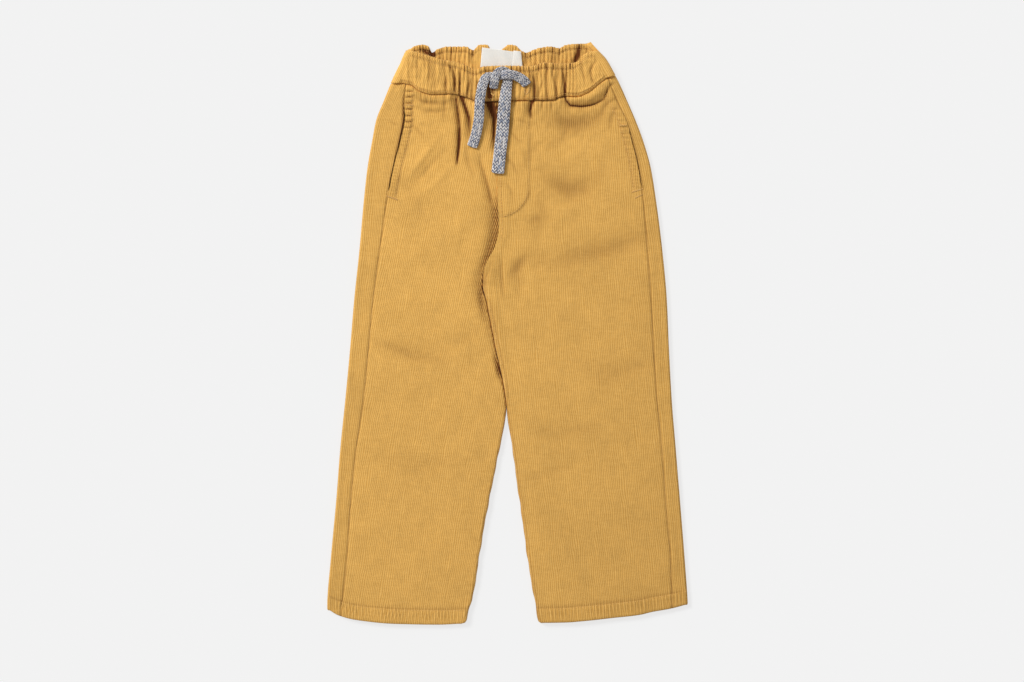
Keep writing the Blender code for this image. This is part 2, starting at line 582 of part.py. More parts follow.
# ---------------------------------------------------------------- drawcord and labels
def cord_line(rows, step):
    """Evenly spaced points of a smooth curve through the rows: x, y, z and width."""
    knots = np.array(rows, dtype=float)
    chord = np.concatenate([[0.0], np.cumsum(np.linalg.norm(np.diff(knots[:, :3], axis=0), axis=1))])
    padded = np.concatenate([[2 * knots[0] - knots[1]], knots, [2 * knots[-1] - knots[-2]]])
    fine = []
    for i in range(1, len(padded) - 2):
        for t in np.linspace(0.0, 1.0, 12, endpoint=False):
            a, b, c, d = padded[i - 1:i + 3]
            fine.append(0.5 * (2 * b + (c - a) * t + (2 * a - 5 * b + 4 * c - d) * t * t
                               + (3 * b - a - 3 * c + d) * t ** 3))
    fine.append(knots[-1])
    fine = np.array(fine)
    length = np.concatenate([[0.0], np.cumsum(np.linalg.norm(np.diff(fine[:, :3], axis=0), axis=1))])
    count = max(int(round(length[-1] / step)), 2)
    places = np.linspace(0.0, length[-1], count + 1)
    return np.stack([np.interp(places, length, fine[:, axis]) for axis in range(4)], axis=1)


def drawcord(name, rows, material):
    line = cord_line(rows, CORD_STEP)
    ahead = np.gradient(line[:, :3], axis=0)
    ahead /= np.linalg.norm(ahead, axis=1, keepdims=True)
    points = []
    for place, forward in zip(line, ahead):
        up = np.array([0.0, 0.0, 1.0]) - forward * forward[2]
        up /= np.linalg.norm(up)
        side = np.cross(forward, up)
        for k in range(CORD_SIDES):
            turn = 2.0 * math.pi * (k + 0.5) / CORD_SIDES
            across = math.copysign(abs(math.cos(turn)) ** 0.8, math.cos(turn)) * place[3] / 2
            above = math.copysign(abs(math.sin(turn)) ** 0.8, math.sin(turn)) * CORD_WALL / 2
            points.append(place[:3] + side * across + up * above)
    faces = []
    for i in range(len(line) - 1):
        for k in range(CORD_SIDES):
            j = (k + 1) % CORD_SIDES
            faces.append([i * CORD_SIDES + k, i * CORD_SIDES + j,
                          (i + 1) * CORD_SIDES + j, (i + 1) * CORD_SIDES + k])
    faces.append(list(range(CORD_SIDES))[::-1])
    faces.append([(len(line) - 1) * CORD_SIDES + k for k in range(CORD_SIDES)])
    return add_object(name, np.array(points), faces, material)


def label(name, corners, lift, columns, rows, material):
    """A thin cloth patch between four corners, bowed a little above the casing."""
    (x0, y0), (x1, y1), (x2, y2), (x3, y3) = corners
    u = np.linspace(0.0, 1.0, columns)[:, None]
    v = np.linspace(0.0, 1.0, rows)[None, :]
    x = (x0 * (1 - u) + x1 * u) * (1 - v) + (x3 * (1 - u) + x2 * u) * v
    y = (y0 * (1 - u) + y1 * u) * (1 - v) + (y3 * (1 - u) + y2 * u) * v
    z = lift + LABEL_BOW * np.sin(math.pi * u) * v
    lower = np.stack([x, y, z], axis=2)
    upper = lower + np.array([0.0, 0.0, LABEL_WALL])
    return add_wall(name, upper, lower, material)


NECK_LABEL = ((-30.0, 293.0), (12.0, 292.0), (13.0, 309.5), (-28.0, 315.0))
SIZE_TAB = ((5.0, 293.4), (16.6, 293.0), (15.0, 310.2), (6.6, 311.4))


# ---------------------------------------------------------------- the garment
def make_material(name, colour, roughness):
    material = bpy.data.materials.new(name)
    material.use_nodes = True
    shader = material.node_tree.nodes["Principled BSDF"]
    shader.inputs["Base Color"].default_value = colour
    shader.inputs["Roughness"].default_value = roughness
    shader.inputs["Metallic"].default_value = 0.0
    return material


def main():
    for obj in list(bpy.data.objects):
        bpy.data.objects.remove(obj)
    front_panel("front_right", RIGHT, make_material("corduroy_front_right", CLOTH_COLOUR, 0.9))
    front_panel("front_left", LEFT, make_material("corduroy_front_left", CLOTH_COLOUR, 0.9))
    back_panel("back_right", RIGHT, make_material("corduroy_back_right", CLOTH_COLOUR, 0.9))
    back_panel("back_left", LEFT, make_material("corduroy_back_left", CLOTH_COLOUR, 0.9))
    waistband_front(make_material("casing_front", BAND_COLOUR, 0.9))
    waistband_back(make_material("casing_back", BAND_COLOUR, 0.9))
    drawcord("drawcord_right", RIGHT_CORD, make_material("braid_right", CORD_COLOUR, 0.8))
    drawcord("drawcord_left", LEFT_CORD, make_material("braid_left", CORD_COLOUR, 0.8))
    back_face = BAND_WALL + SEAM_GAP
    label("neck_label", NECK_LABEL, back_face, 7, 4, make_material("label_cloth", LABEL_COLOUR, 0.7))
    tab_lift = back_face + LABEL_BOW + LABEL_WALL + SEAM_GAP
    label("size_tab", SIZE_TAB, tab_lift, 3, 3, make_material("tab_cloth", LABEL_COLOUR, 0.7))


main()
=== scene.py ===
"""Looks of the pull-on corduroy trousers: every piece of cloth, cord and thread, laid flat.

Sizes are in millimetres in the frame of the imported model: +X is the wearer's left, +Y the waist
and +Z the front. Each leg is a tube of two thin walls that meet at the outseam on top.
"""
import math
from collections import namedtuple

import bmesh
import bpy
import numpy as np
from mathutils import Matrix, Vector


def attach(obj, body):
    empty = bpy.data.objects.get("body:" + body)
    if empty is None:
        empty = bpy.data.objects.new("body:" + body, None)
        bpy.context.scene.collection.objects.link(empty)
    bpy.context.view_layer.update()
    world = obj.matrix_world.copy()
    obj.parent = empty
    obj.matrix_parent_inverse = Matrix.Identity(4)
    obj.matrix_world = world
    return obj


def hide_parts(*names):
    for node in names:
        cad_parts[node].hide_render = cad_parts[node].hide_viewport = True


MM = 0.001
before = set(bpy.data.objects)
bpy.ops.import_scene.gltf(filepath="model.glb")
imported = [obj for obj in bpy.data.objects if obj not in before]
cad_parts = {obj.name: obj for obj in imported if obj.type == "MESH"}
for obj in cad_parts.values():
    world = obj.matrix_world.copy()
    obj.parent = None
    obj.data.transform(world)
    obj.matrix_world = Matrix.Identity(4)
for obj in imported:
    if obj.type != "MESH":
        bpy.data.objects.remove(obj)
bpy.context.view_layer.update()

# ---------------------------------------------------------------- driving sizes, millimetres
CLOTH = 1.6                 # corduroy wall
SEAM_GAP = 0.3              # clearance between neighbouring pieces
BAND_GAP = 0.1              # the same above the casing's seam
LEG_HEIGHT = 6.2            # middle of the top wall over the legs
EDGE_SOFTNESS = 16.0        # width over which the top wall sinks towards an edge
EDGE_SINK = 1.2             # how far it sinks there
EDGE_WAVE = 0.45            # how far the inseams wander
HEM_DEPTH = 16.5            # turned hem
HEM_ROW = 15.3              # from the hem's edge to its stitch row
HEM_RAISE = 0.5             # extra height of the turned cloth
CROTCH_Y = 62.0             # where the front rise ends
HEM_LEVEL = -310.0          # height at which the side lines meet the hem
WAIST_LEVEL = 275.0         # height at which they meet the casing
BAND_WALL = 4.2             # elastic casing: two layers of cloth round an elastic
BAND_LIFT = 7.9             # underside of the front casing
SIDE_GAP = 0.1              # clearance below the casing where it turns round the side
SIDE_TURN = 11.0            # width of that turn, seen from above
FLY_RAISE = 0.9             # mock fly underlay
RISE_TO_BAND = 2.8          # how far the front panels climb towards the casing
RISE_LENGTH = 34.0          # distance over which they climb
TUCK = 3.0                  # width of the front panels that is sewn in under the casing
TUCK_LENGTH = 3.4           # distance over which the panels sink to it
TUCK_MARGIN = 1.2           # they are fully sunk this far short of the casing
TUCK_AT_HIPS = 0.55         # share of both where the casing lies flat
JOIN_HEIGHT = (BAND_LIFT + BAND_WALL) / 2   # where the two halves of the casing meet at the sides
SLOPE_AT_EDGE = 0.35        # share of a side strip after which it levels with the outer turn
INSEAM_SHARPNESS = 0.6      # how much narrower than high the inseam's turn is
LOWEST_MIDDLE = 2.9         # the top wall never sinks below this
FOLD_DARKNESS = 0.10        # painted shade of a large fold for each millimetre of its depth
ROLL = 1.6                  # distance over which a cut edge rounds off
LABEL_WALL = 0.5
LABEL_BOW = 0.5             # how far the labels' upper edges stand off
LABEL_WAVE = 0.22
LABEL_SPAN = (-34.0, 18.0)  # the back casing lies flat behind the labels
GATHER_PITCH = 4.6          # mean pitch of the fine gathers
WALE = 2.1                  # pitch of the cords of the corduroy

# Stitching.
POCKET_STITCH = 9.0         # from the mouth to the middle of its two rows
RUNG_PITCH = 6.4            # between the tucks that the rows draw in above a pocket mouth
ROW_APART = 1.9
CASING_STITCH = 2.4         # from the casing's seam
HEADER = 6.4                # gathered header above the casing's upper row
FLY_STITCH = 1.4            # from the edge of the mock fly
MIDDLE_STITCH = 3.6         # from the centre front and the inseam
THREAD_SINK = 0.28          # how deep a row pulls the cloth in
THREAD_WIDTH = 1.3

# Mock fly: straight stitch line, then a quarter turn to the centre front.
FLY_X = 24.5
FLY_TURN_Y = 163.0
FLY_END_Y = 128.0

# Number of columns, rows and steps in the grids of the walls.
FRONT_COLUMNS = 150
STRIP_COLUMNS = 18          # of a back panel on top, out to the side turn
UNDER_COLUMNS = 60          # of a back panel below
TURN_STEPS = 7


# ---------------------------------------------------------------- tables and curves
def table(kind, *rows):
    """Rows of plain values, each with its columns named."""
    return tuple(kind(*row) for row in rows)


def smooth_curve(places, values):
    """A curve through the points that doesn't overshoot them, flat at each peak."""
    places = np.array(places, dtype=float)
    values = np.array(values, dtype=float)
    steps = np.diff(places)
    slopes = np.diff(values) / steps
    tangents = np.zeros(len(values))
    tangents[0] = slopes[0]
    tangents[-1] = slopes[-1]
    for i in range(1, len(slopes)):
        if slopes[i - 1] * slopes[i] > 0.0:
            before = 2.0 * steps[i] + steps[i - 1]
            after = steps[i] + 2.0 * steps[i - 1]
            tangents[i] = (before + after) / (before / slopes[i - 1] + after / slopes[i])

    def value(place):
        place = np.clip(place, places[0], places[-1])
        i = np.clip(np.searchsorted(places, place) - 1, 0, len(steps) - 1)
        t = (place - places[i]) / steps[i]
        return ((1 + 2 * t) * (1 - t) ** 2 * values[i] + t * (1 - t) ** 2 * steps[i] * tangents[i]
                + t * t * (3 - 2 * t) * values[i + 1] + t * t * (t - 1) * steps[i] * tangents[i + 1])

    return value


def curve(rows, place, column):
    return smooth_curve([getattr(row, place) for row in rows], [getattr(row, column) for row in rows])


def limited(value):
    return np.clip(value, 0.0, 1.0)


def ease(value, low, high):
    """0 below low, 1 above high and a soft step between them."""
    t = limited((value - low) / (high - low))
    return t * t * (3.0 - 2.0 * t)


def between(value, low, low_end, high_start, high):
    """1 between two places, with a soft step at each."""
    return ease(value, low, low_end) * (1.0 - ease(value, high_start, high))


def bell(distance, width, power=2):
    """1 in the middle and softly down to 0 beyond the width."""
    return np.exp(-(distance / width) ** power)


def swung(value, pitch, swing, slow, phase=0.0):
    """A wave whose pitch wanders."""
    return np.sin(value / pitch + swing * np.sin(value / slow) + phase)


def unit(vectors):
    return vectors / np.linalg.norm(vectors, axis=-1, keepdims=True)


def running_total(steps):
    return np.concatenate([np.zeros((1,) + steps.shape[1:]), np.cumsum(steps, axis=0)])


# Outline of each leg: x of the outer edge and of the outseam at a height y.
Side = namedtuple("Side", "y outer outseam")
RIGHT_SIDE = table(Side,    # wearer's right, at -X
    (-320, -198.5, -184.0), (-300, -198.6, -182.5), (-249, -194.8, -177.0),
    (-183, -188.7, -172.5), (-128, -184.4, -166.7), (-73, -178.8, -158.6),
    (-18, -173.6, -153.2), (37, -169.0, -148.0), (92, -163.2, -140.6),
    (150, -158.0, -132.1), (182, -154.4, -126.0), (212, -149.2, -118.3),
    (235, -144.7, -113.9), (257, -136.0, -113.6), (275, -128.6, -111.7),
    (290, -121.5, -110.5), (301, -116.0, -109.0), (313, -110.0, -107.0),
)
LEFT_SIDE = table(Side,    # wearer's left, at +X
    (-320, 199.6, 181.5), (-293, 198.4, 180.9), (-249, 195.3, 179.4),
    (-183, 190.0, 173.8), (-128, 185.5, 169.8), (-73, 181.0, 164.6),
    (-18, 178.0, 160.6), (37, 175.6, 157.9), (92, 170.6, 154.0),
    (150, 163.2, 149.0), (182, 158.0, 144.6), (212, 149.6, 137.4),
    (235, 141.0, 130.5), (257, 131.5, 120.0), (275, 123.4, 112.5),
    (290, 115.5, 107.0), (301, 109.0, 102.0), (313, 97.5, 94.0), (321, 90.5, 88.0),
)

# The middle line: centre front down to the crotch, then the inseams of both legs.
Middle = namedtuple("Middle", "y right left")
MIDDLE = table(Middle,
    (-319.6, -50.0, 37.6), (-318.0, -46.2, 34.6), (-316.3, -44.8, 33.4),
    (-313.6, -44.0, 32.7), (-303, -42.4, 31.4), (-293, -38.6, 29.4), (-249, -31.4, 22.0),
    (-205, -24.0, 16.0), (-161, -15.4, 9.6), (-117, -6.6, 3.9),
    (-95, -2.6, 0.2), (-83, -1.3, -1.0), (-62, -3.86, -3.8),
    (-40, -8.06, -8.0), (-18, -13.16, -13.1), (4, -17.46, -17.4),
    (37, -24.16, -24.1), (50, -27.26, -27.2), (66, -26.36, -26.3),
    (79, -21.7, -21.64), (92, -14.5, -14.44), (114, -9.6, -9.54),
    (169, -11.2, -11.14), (213, -6.2, -6.14), (257, -3.0, -2.94),
    (280, -3.0, -2.94),
)

# Edges that run across the garment: y at a place x.
Across = namedtuple("Across", "x y")
HEM_RIGHT = table(Across,
    (-199, -304.5), (-188, -309.7), (-166, -315.2), (-118, -319.6),
    (-70, -320.4), (-44, -319.4),
)
HEM_LEFT = table(Across,
    (28, -318.6), (60, -318.0), (82, -316.3),
    (114, -313.0), (144, -309.7), (159, -306.4), (179, -303.0),
    (199, -298.7),
)
FRONT_SEAM = table(Across,    # lower edge of the front casing
    (-130, 274.6), (-119, 275.0), (-107, 273.4), (-96, 266.2),
    (-83, 262.8), (-62, 263.5), (-50, 261.0), (-30, 254.9),
    (6, 256.0), (50, 256.9), (62, 261.0), (76, 260.2),
    (88, 264.5), (102, 275.4), (110, 281.2), (121, 283.6),
)
BACK_SEAM = table(Across,    # lower edge of the back casing
    (-130, 274.6), (121, 283.6),
)
FRONT_TOP = table(Across,    # upper edge of the front casing
    (-116, 306.0), (-108, 311.0), (-96, 308.1), (-86, 305.3),
    (-73, 301.4), (-60, 299.0), (-49, 296.0), (-35, 290.5),
    (-24, 293.8), (2, 294.3), (25, 293.8), (41, 297.6),
    (59, 296.5), (72, 297.2), (78, 300.0), (83, 306.0),
    (91, 310.2), (102, 311.0),
)
BACK_TOP = table(Across,    # scalloped upper edge of the back casing
    (-112, 309.0), (-102, 317.0), (-93, 318.5), (-87, 316.5),
    (-83, 309.7), (-78, 313.0), (-66, 316.3), (-46, 316.3),
    (-38, 312.5), (-31, 318.3), (-23, 318.5), (-17, 312.5),
    (-9, 311.0), (-4, 315.0), (2, 318.5), (9, 317.5),
    (15, 312.0), (21, 309.7), (28, 312.5), (36, 315.0),
    (48, 316.4), (57, 314.6), (64, 318.0), (76, 319.4),
    (86, 319.6), (100, 318.6),
)

front_seam = curve(FRONT_SEAM, "x", "y")
back_seam = curve(BACK_SEAM, "x", "y")
front_top = curve(FRONT_TOP, "x", "y")
back_top = curve(BACK_TOP, "x", "y")

# Pocket mouths: the outseam stands open between two heights.
Mouth = namedtuple("Mouth", "low high open")


class Leg:
    """The outline curves of one side, and where they meet the hem and the casing."""

    def __init__(self, side, hem, mouth, column, sign):
        self.outer = curve(side, "y", "outer")
        self.outseam = curve(side, "y", "outseam")
        self.inseam = curve(MIDDLE, "y", column)
        self.hem = curve(hem, "x", "y")
        self.mouth = mouth
        self.sign = sign        # +1 where the outer edge is at +X
        self.hem_x = {}
        self.top_x = {}
        for line in ("outer", "outseam", "inner"):
            side_line = getattr(self, line)
            self.hem_x[line] = float(side_line(HEM_LEVEL))
            self.top_x[line] = float(side_line(front_seam(side_line(WAIST_LEVEL))))

    def inner(self, y):
        """The middle line: below the crotch its edge is drawn in and out a little by the seam."""
        apart = ease(-y, 100.0, 140.0)
        wander = np.sin(y / 4.3 + self.sign) * np.sin(y / 17.0) + 0.7
        return self.inseam(y) + self.sign * EDGE_WAVE * apart * wander

    def end_height(self, line, top_edge, share):
        """Height y of a row at the outer edge, the outseam or the inner edge."""
        low = self.hem(self.hem_x[line])
        return low + share * (top_edge(self.top_x[line]) - low)

    def rows(self, first, last, top_edge, shares, parts):
        """Heights y of all rows from one of those lines to another, a column for each part."""
        low = self.hem(self.hem_x[first] + (self.hem_x[last] - self.hem_x[first]) * parts)
        high = top_edge(self.top_x[first] + (self.top_x[last] - self.top_x[first]) * parts)
        return low[:, None] + shares[None, :] * (high - low)[:, None]


RIGHT = Leg(RIGHT_SIDE, HEM_RIGHT, Mouth(152.0, 246.0, 1.1), "right", -1.0)
LEFT = Leg(LEFT_SIDE, HEM_LEFT, Mouth(160.0, 226.0, 0.75), "left", 1.0)

# ---------------------------------------------------------------- folds, creases and ripples
# Creases and folds: the line that each follows, its half width, its depth (troughs are negative),
# the painted shade of the hollow, and the shares left at the first and last point.
Crease = namedtuple("Crease", "line width depth dark first last", defaults=(0.0, 0.0, 0.0))


def fold(line, width, depth, first=0, last=0):
    """A large soft fold: a trough gets a little more painted shade the deeper it is."""
    return Crease(line, width, depth, max(-depth, 0.0) * FOLD_DARKNESS, first, last)


FOLDS = table(fold,
    (((-59, 262), (-54, 240), (-52.8, 226), (-53.4, 212), (-55.8, 186)), 3.6, -2.7, 1),
    (((-51, 262), (-47, 248), (-44, 238), (-44.6, 214)), 3.4, -1.8, 1),
    (((-24, 262), (-19, 246), (-14.6, 236), (-13.6, 226), (-15.4, 196)), 4.4, -3.0, 1),
    (((-34, 262), (-32, 240), (-31, 215)), 5.0, 2.2, 1),
    (((-32, 200), (-27, 180), (-24, 168), (-18, 146)), 4.2, -1.7, 0, 0.6),
    (((-18, 150), (-15.5, 104), (-22, 84), (-31, 62), (-31, 34)), 7.0, -2.6, 0.4, 0.3),
    (((-12, -10), (-16, 2), (-28, 40)), 6.0, -1.6, 0.2, 0.2),
    (((-3, 225), (-6, 170), (-5, 112), (-17, 78), (-22, 50), (-11, 2), (2, -62)), 5.5, 1.5, 0, 0.3),
    (((25, 262), (24, 246), (26.5, 234)), 3.0, -2.2, 1),
    (((16, 262), (15, 244), (13, 225)), 4.5, 1.2, 1),
    (((62, 258), (72, 257), (88, 258), (103, 267)), 4.0, 2.4, 0.5, 0.5),
    (((60, 262), (67, 251), (82, 249), (99, 254), (110, 266)), 3.4, -1.8, 1, 0.6),
    (((30, 183), (52, 166), (68, 157), (84, 157), (99, 178)), 10.0, -1.7, 0, 0.1),
    (((157, 108), (124, 96), (80, 87), (41, 70)), 10.5, -1.25, 0.5),
    (((24, 100), (32, 84), (44, 66)), 9.0, -0.7),
    (((14, 84), (13, 60), (15, 36)), 6.0, -1.1),
    (((-136, 156), (-110, 180), (-82, 204)), 9.0, 1.3),
    (((-128, 120), (-96, 150), (-62, 166)), 12.0, 0.9),
    (((-150, -14), (-110, -22), (-60, -12)), 9.0, -0.7),
    (((60, -30), (105, -42), (150, -34)), 10.0, -0.7),
)
PANEL_CREASES = table(Crease,
    (((-56, 258), (-53, 229), (-53, 213)), 2.1, -1.0, 0.62, 0.9, 0.6),
    (((-52.6, 226), (-53.6, 206), (-55.5, 187)), 1.8, -2.2, 1.7, 0.1, 0.45),
    (((-49, 250), (-48, 236), (-50, 222), (-49, 205)), 2.6, 0.9, 0.0, 0.3),
    (((-51, 261), (-46, 248), (-42, 236), (-42, 222), (-44, 210)), 2.5, -1.3, 0.95, 1.0),
    (((-24, 266), (-18, 250), (-15, 241)), 4.6, -1.2, 1.35, 1.0, 0.6),
    (((-18, 252), (-14, 240), (-15, 228), (-15, 203)), 2.0, -1.6, 1.2, 1.0, 0.2),
    (((-31, 262), (-27, 240), (-24, 214)), 2.4, 0.8, 0.0, 0.4),
    (((-47, 212), (-44, 190), (-36, 168)), 3.0, -0.5, 0.22),
    (((3, 254), (4, 236), (2, 214)), 2.6, -0.7, 0.30, 0.6),
    (((9, 236), (22, 231)), 1.8, -0.5, 0.25, 0.2, 0.2),
    (((38, 256), (37, 244)), 1.6, -0.6, 0.3, 1.0),
    (((47, 256), (49, 243)), 1.6, -0.5, 0.25, 1.0),
    (((-70, 262), (-69, 248), (-71, 232)), 2.0, -0.6, 0.25, 0.9),
    (((-90, 262), (-88, 250)), 1.5, -0.4, 0.2, 1.0),
    (((-95, 263), (-94, 253)), 1.2, -0.4, 0.2, 1.0),
    (((-84, 261), (-83, 252)), 1.2, -0.4, 0.2, 1.0),
    (((-78, 261), (-77, 251)), 1.2, -0.4, 0.2, 1.0),
    (((112, 262), (104, 243), (96, 232)), 3.4, -0.7, 0.25, 0.2),
    (((121, 252), (114, 238), (112, 222)), 2.4, -0.6, 0.3, 0.3),
    (((40, 214), (24, 196), (14, 178)), 5.0, -0.5, 0.12),
    (((92, 152), (66, 132), (44, 122)), 7.0, 0.5),
    (((48, 172), (68, 157), (92, 164)), 12.0, -0.4, 0.20),
    (((92, 160), (104, 176), (108, 196)), 7.0, -0.4, 0.10, 0.2),
    (((48, 236), (76, 230), (102, 238)), 10.0, -0.9, 0.42, 0.3, 0.3),
    (((84, 214), (66, 190), (40, 196)), 9.0, 0.9),
    (((150, 130), (112, 118), (62, 112)), 8.0, 0.7),
    (((24, 118), (30, 126), (38, 128)), 5.0, -0.6, 0.26),
    (((150, 106), (118, 92), (76, 84), (36, 70)), 9.0, -0.3, 0.12, 0.4, 0.2),
    (((2, 60), (12, 76), (24, 88)), 5.6, -1.0, 0.34, 0.2),
    (((30, 66), (38, 82), (50, 90)), 5.0, -0.4, 0.07),
    (((6, 205), (16, 196), (20, 180)), 2.2, 0.7),
    (((3, 222), (12, 212), (20, 208)), 1.8, -0.6, 0.22, 0.2),
    (((-4, 196), (6, 186), (14, 170)), 2.4, -0.6, 0.18, 0.2),
    (((-5, 170), (4, 158), (8, 142)), 2.2, -0.5, 0.16, 0.2),
    (((-106, 262), (-92, 254), (-76, 254)), 2.6, -0.7, 0.20),
    (((-102, 250), (-88, 244), (-70, 247)), 2.4, -0.6, 0.16),
    (((-104, 240), (-94, 232), (-82, 230)), 2.2, 0.6),
    (((-105, 230), (-97, 222), (-90, 214)), 2.2, -0.6, 0.20, 0.2),
    (((-132, 236), (-124, 230), (-118, 231)), 2.0, -0.5, 0.20),
    (((-7, 84), (-7, 66), (-5, 36)), 2.4, -0.8, 0.34, 0.2),
    (((-15, 70), (-14, 50), (-10, 20)), 1.8, 0.6, 0.0, 0.2),
    (((-146, -7), (-102, -26), (-58, -31)), 5.5, -0.6, 0.16, 0.3),
    (((-76, -20), (-50, -8), (-24, 8)), 6.0, -0.5, 0.10, 0.0, 0.2),
    (((-146, -132), (-104, -146), (-44, -140)), 10.0, -0.5, 0.08, 0.2, 0.2),
    (((88, -58), (124, -46), (162, -28)), 9.0, -0.5, 0.09, 0.1, 0.4),
    (((26, -106), (60, -112), (114, -100)), 8.0, -0.5, 0.08, 0.3),
    (((24, -160), (50, -153), (78, -144)), 5.0, -0.5, 0.09, 0.5),
    (((-116, 163), (-98, 186), (-72, 222)), 3.6, 0.9),
    (((-110, 156), (-90, 178), (-64, 208)), 3.4, -0.6, 0.15),
    (((-103, 145), (-80, 164), (-50, 196)), 4.4, 0.7),
    (((120, 214), (96, 200), (60, 196)), 8.0, 0.8),
    (((70, 236), (60, 214), (40, 200)), 6.0, -0.6, 0.16, 0.1),
    (((34, 156), (40, 130), (30, 104)), 6.0, -0.6, 0.14),
    (((-112, 196), (-92, 176), (-76, 150)), 6.0, 0.6),
    (((-120, 172), (-100, 148), (-88, 118)), 6.0, -0.5, 0.10),
    (((-34, 150), (-52, 120), (-60, 84)), 7.0, 0.5),
    (((-22, 70), (-30, 40), (-26, 8)), 3.2, -0.8, 0.32, 0.2),
    (((-32, 204), (-29, 186), (-24, 172), (-19, 154), (-15, 140), (-12, 123)), 1.8, -0.9, 0.26, 0.0, 0.5),
    (((-23, 171), (-18, 140), (-14, 120)), 1.3, -0.5, 0.16, 0.0, 0.4),
    (((28, 256), (25, 245), (27, 235)), 1.9, -1.5, 1.0, 1.0, 0.1),
    (((-100, 258), (-85, 253), (-70, 253), (-57, 257)), 2.8, -1.0, 0.27, 0.1, 0.4),
    (((-92, 247), (-78, 243), (-64, 247)), 2.0, -0.6, 0.22, 0.0, 0.2),
    (((63, 261), (65, 256), (69, 251), (80, 250), (91, 251), (97, 253), (106, 258), (111, 270)),
           1.4, -1.4, 1.0, 1.0, 0.3),
    (((108, 262), (111, 271), (121, 278)), 1.6, -0.8, 0.40, 0.8, 0.2),
    (((122, 261), (113, 255), (106, 249)), 1.8, -0.7, 0.28, 0.3, 0.2),
)
BACK_CREASES = table(Crease,    # the under side, where a trough rises from the floor
    (((-140, 214), (-122, 196), (-96, 180), (-66, 166), (-34, 146), (-18, 128)), 7.0, 1.3, 0.22, 0.0, 0.4),
    (((-128, 176), (-108, 158), (-92, 150), (-74, 150)), 11.0, 0.9, 0.12),
    (((-160, 122), (-132, 112), (-104, 114)), 5.0, 0.9, 0.20, 0.6),
    (((-94, 262), (-88, 244), (-87, 226), (-91, 202)), 3.4, 1.2, 0.35, 1.0),
    (((-62, 262), (-57, 250), (-56, 236), (-63, 214), (-66, 190)), 3.0, 1.4, 0.50, 1.0),
    (((-40, 262), (-41, 246)), 2.6, 1.0, 0.30, 1.0),
    (((-20, 262), (-23, 246), (-22, 228), (-29, 204)), 3.6, 1.3, 0.42, 1.0),
    (((-28, 76), (-44, 72), (-66, 60), (-92, 44)), 6.0, 1.3, 0.26, 0.8),
    (((-28, 52), (-42, 40), (-60, 16), (-66, -12)), 4.6, 1.1, 0.24, 0.7),
    (((-26, 30), (-34, 12), (-36, -20)), 3.6, 0.9, 0.22, 0.6),
    (((-158, -18), (-132, -30), (-96, -34), (-72, -26)), 8.0, 1.0, 0.14, 0.2),
    (((-148, -46), (-118, -52), (-92, -66)), 5.0, 0.8, 0.14),
    (((-126, -168), (-98, -184), (-62, -182)), 12.0, 0.7, 0.08),
    (((8, 262), (12, 248), (11, 232)), 3.0, 1.1, 0.36, 1.0),
    (((30, 264), (35, 246), (33, 224), (38, 200)), 3.4, 1.4, 0.48, 1.0),
    (((62, 266), (60, 250), (64, 236)), 2.8, 1.1, 0.34, 1.0),
    (((88, 270), (90, 252), (84, 230), (86, 214)), 3.6, 1.2, 0.36, 1.0),
    (((-2, 150), (22, 166), (52, 174), (88, 192), (118, 206)), 8.0, 1.2, 0.20, 0.3),
    (((56, 148), (84, 144), (124, 154)), 10.0, 0.9, 0.12),
    (((-14, 84), (10, 76), (36, 60), (66, 52), (88, 54)), 6.0, 1.3, 0.26, 0.8),
    (((-20, 44), (2, 28), (18, 2), (22, -26)), 4.6, 1.0, 0.22, 0.6),
    (((84, 12), (118, 0), (158, 6)), 9.0, 0.9, 0.12, 0.0, 0.3),
    (((40, -92), (72, -100), (116, -94), (150, -82)), 7.0, 0.9, 0.14),
    (((96, -212), (134, -206), (166, -190)), 11.0, 0.7, 0.08, 0.0, 0.2),
)
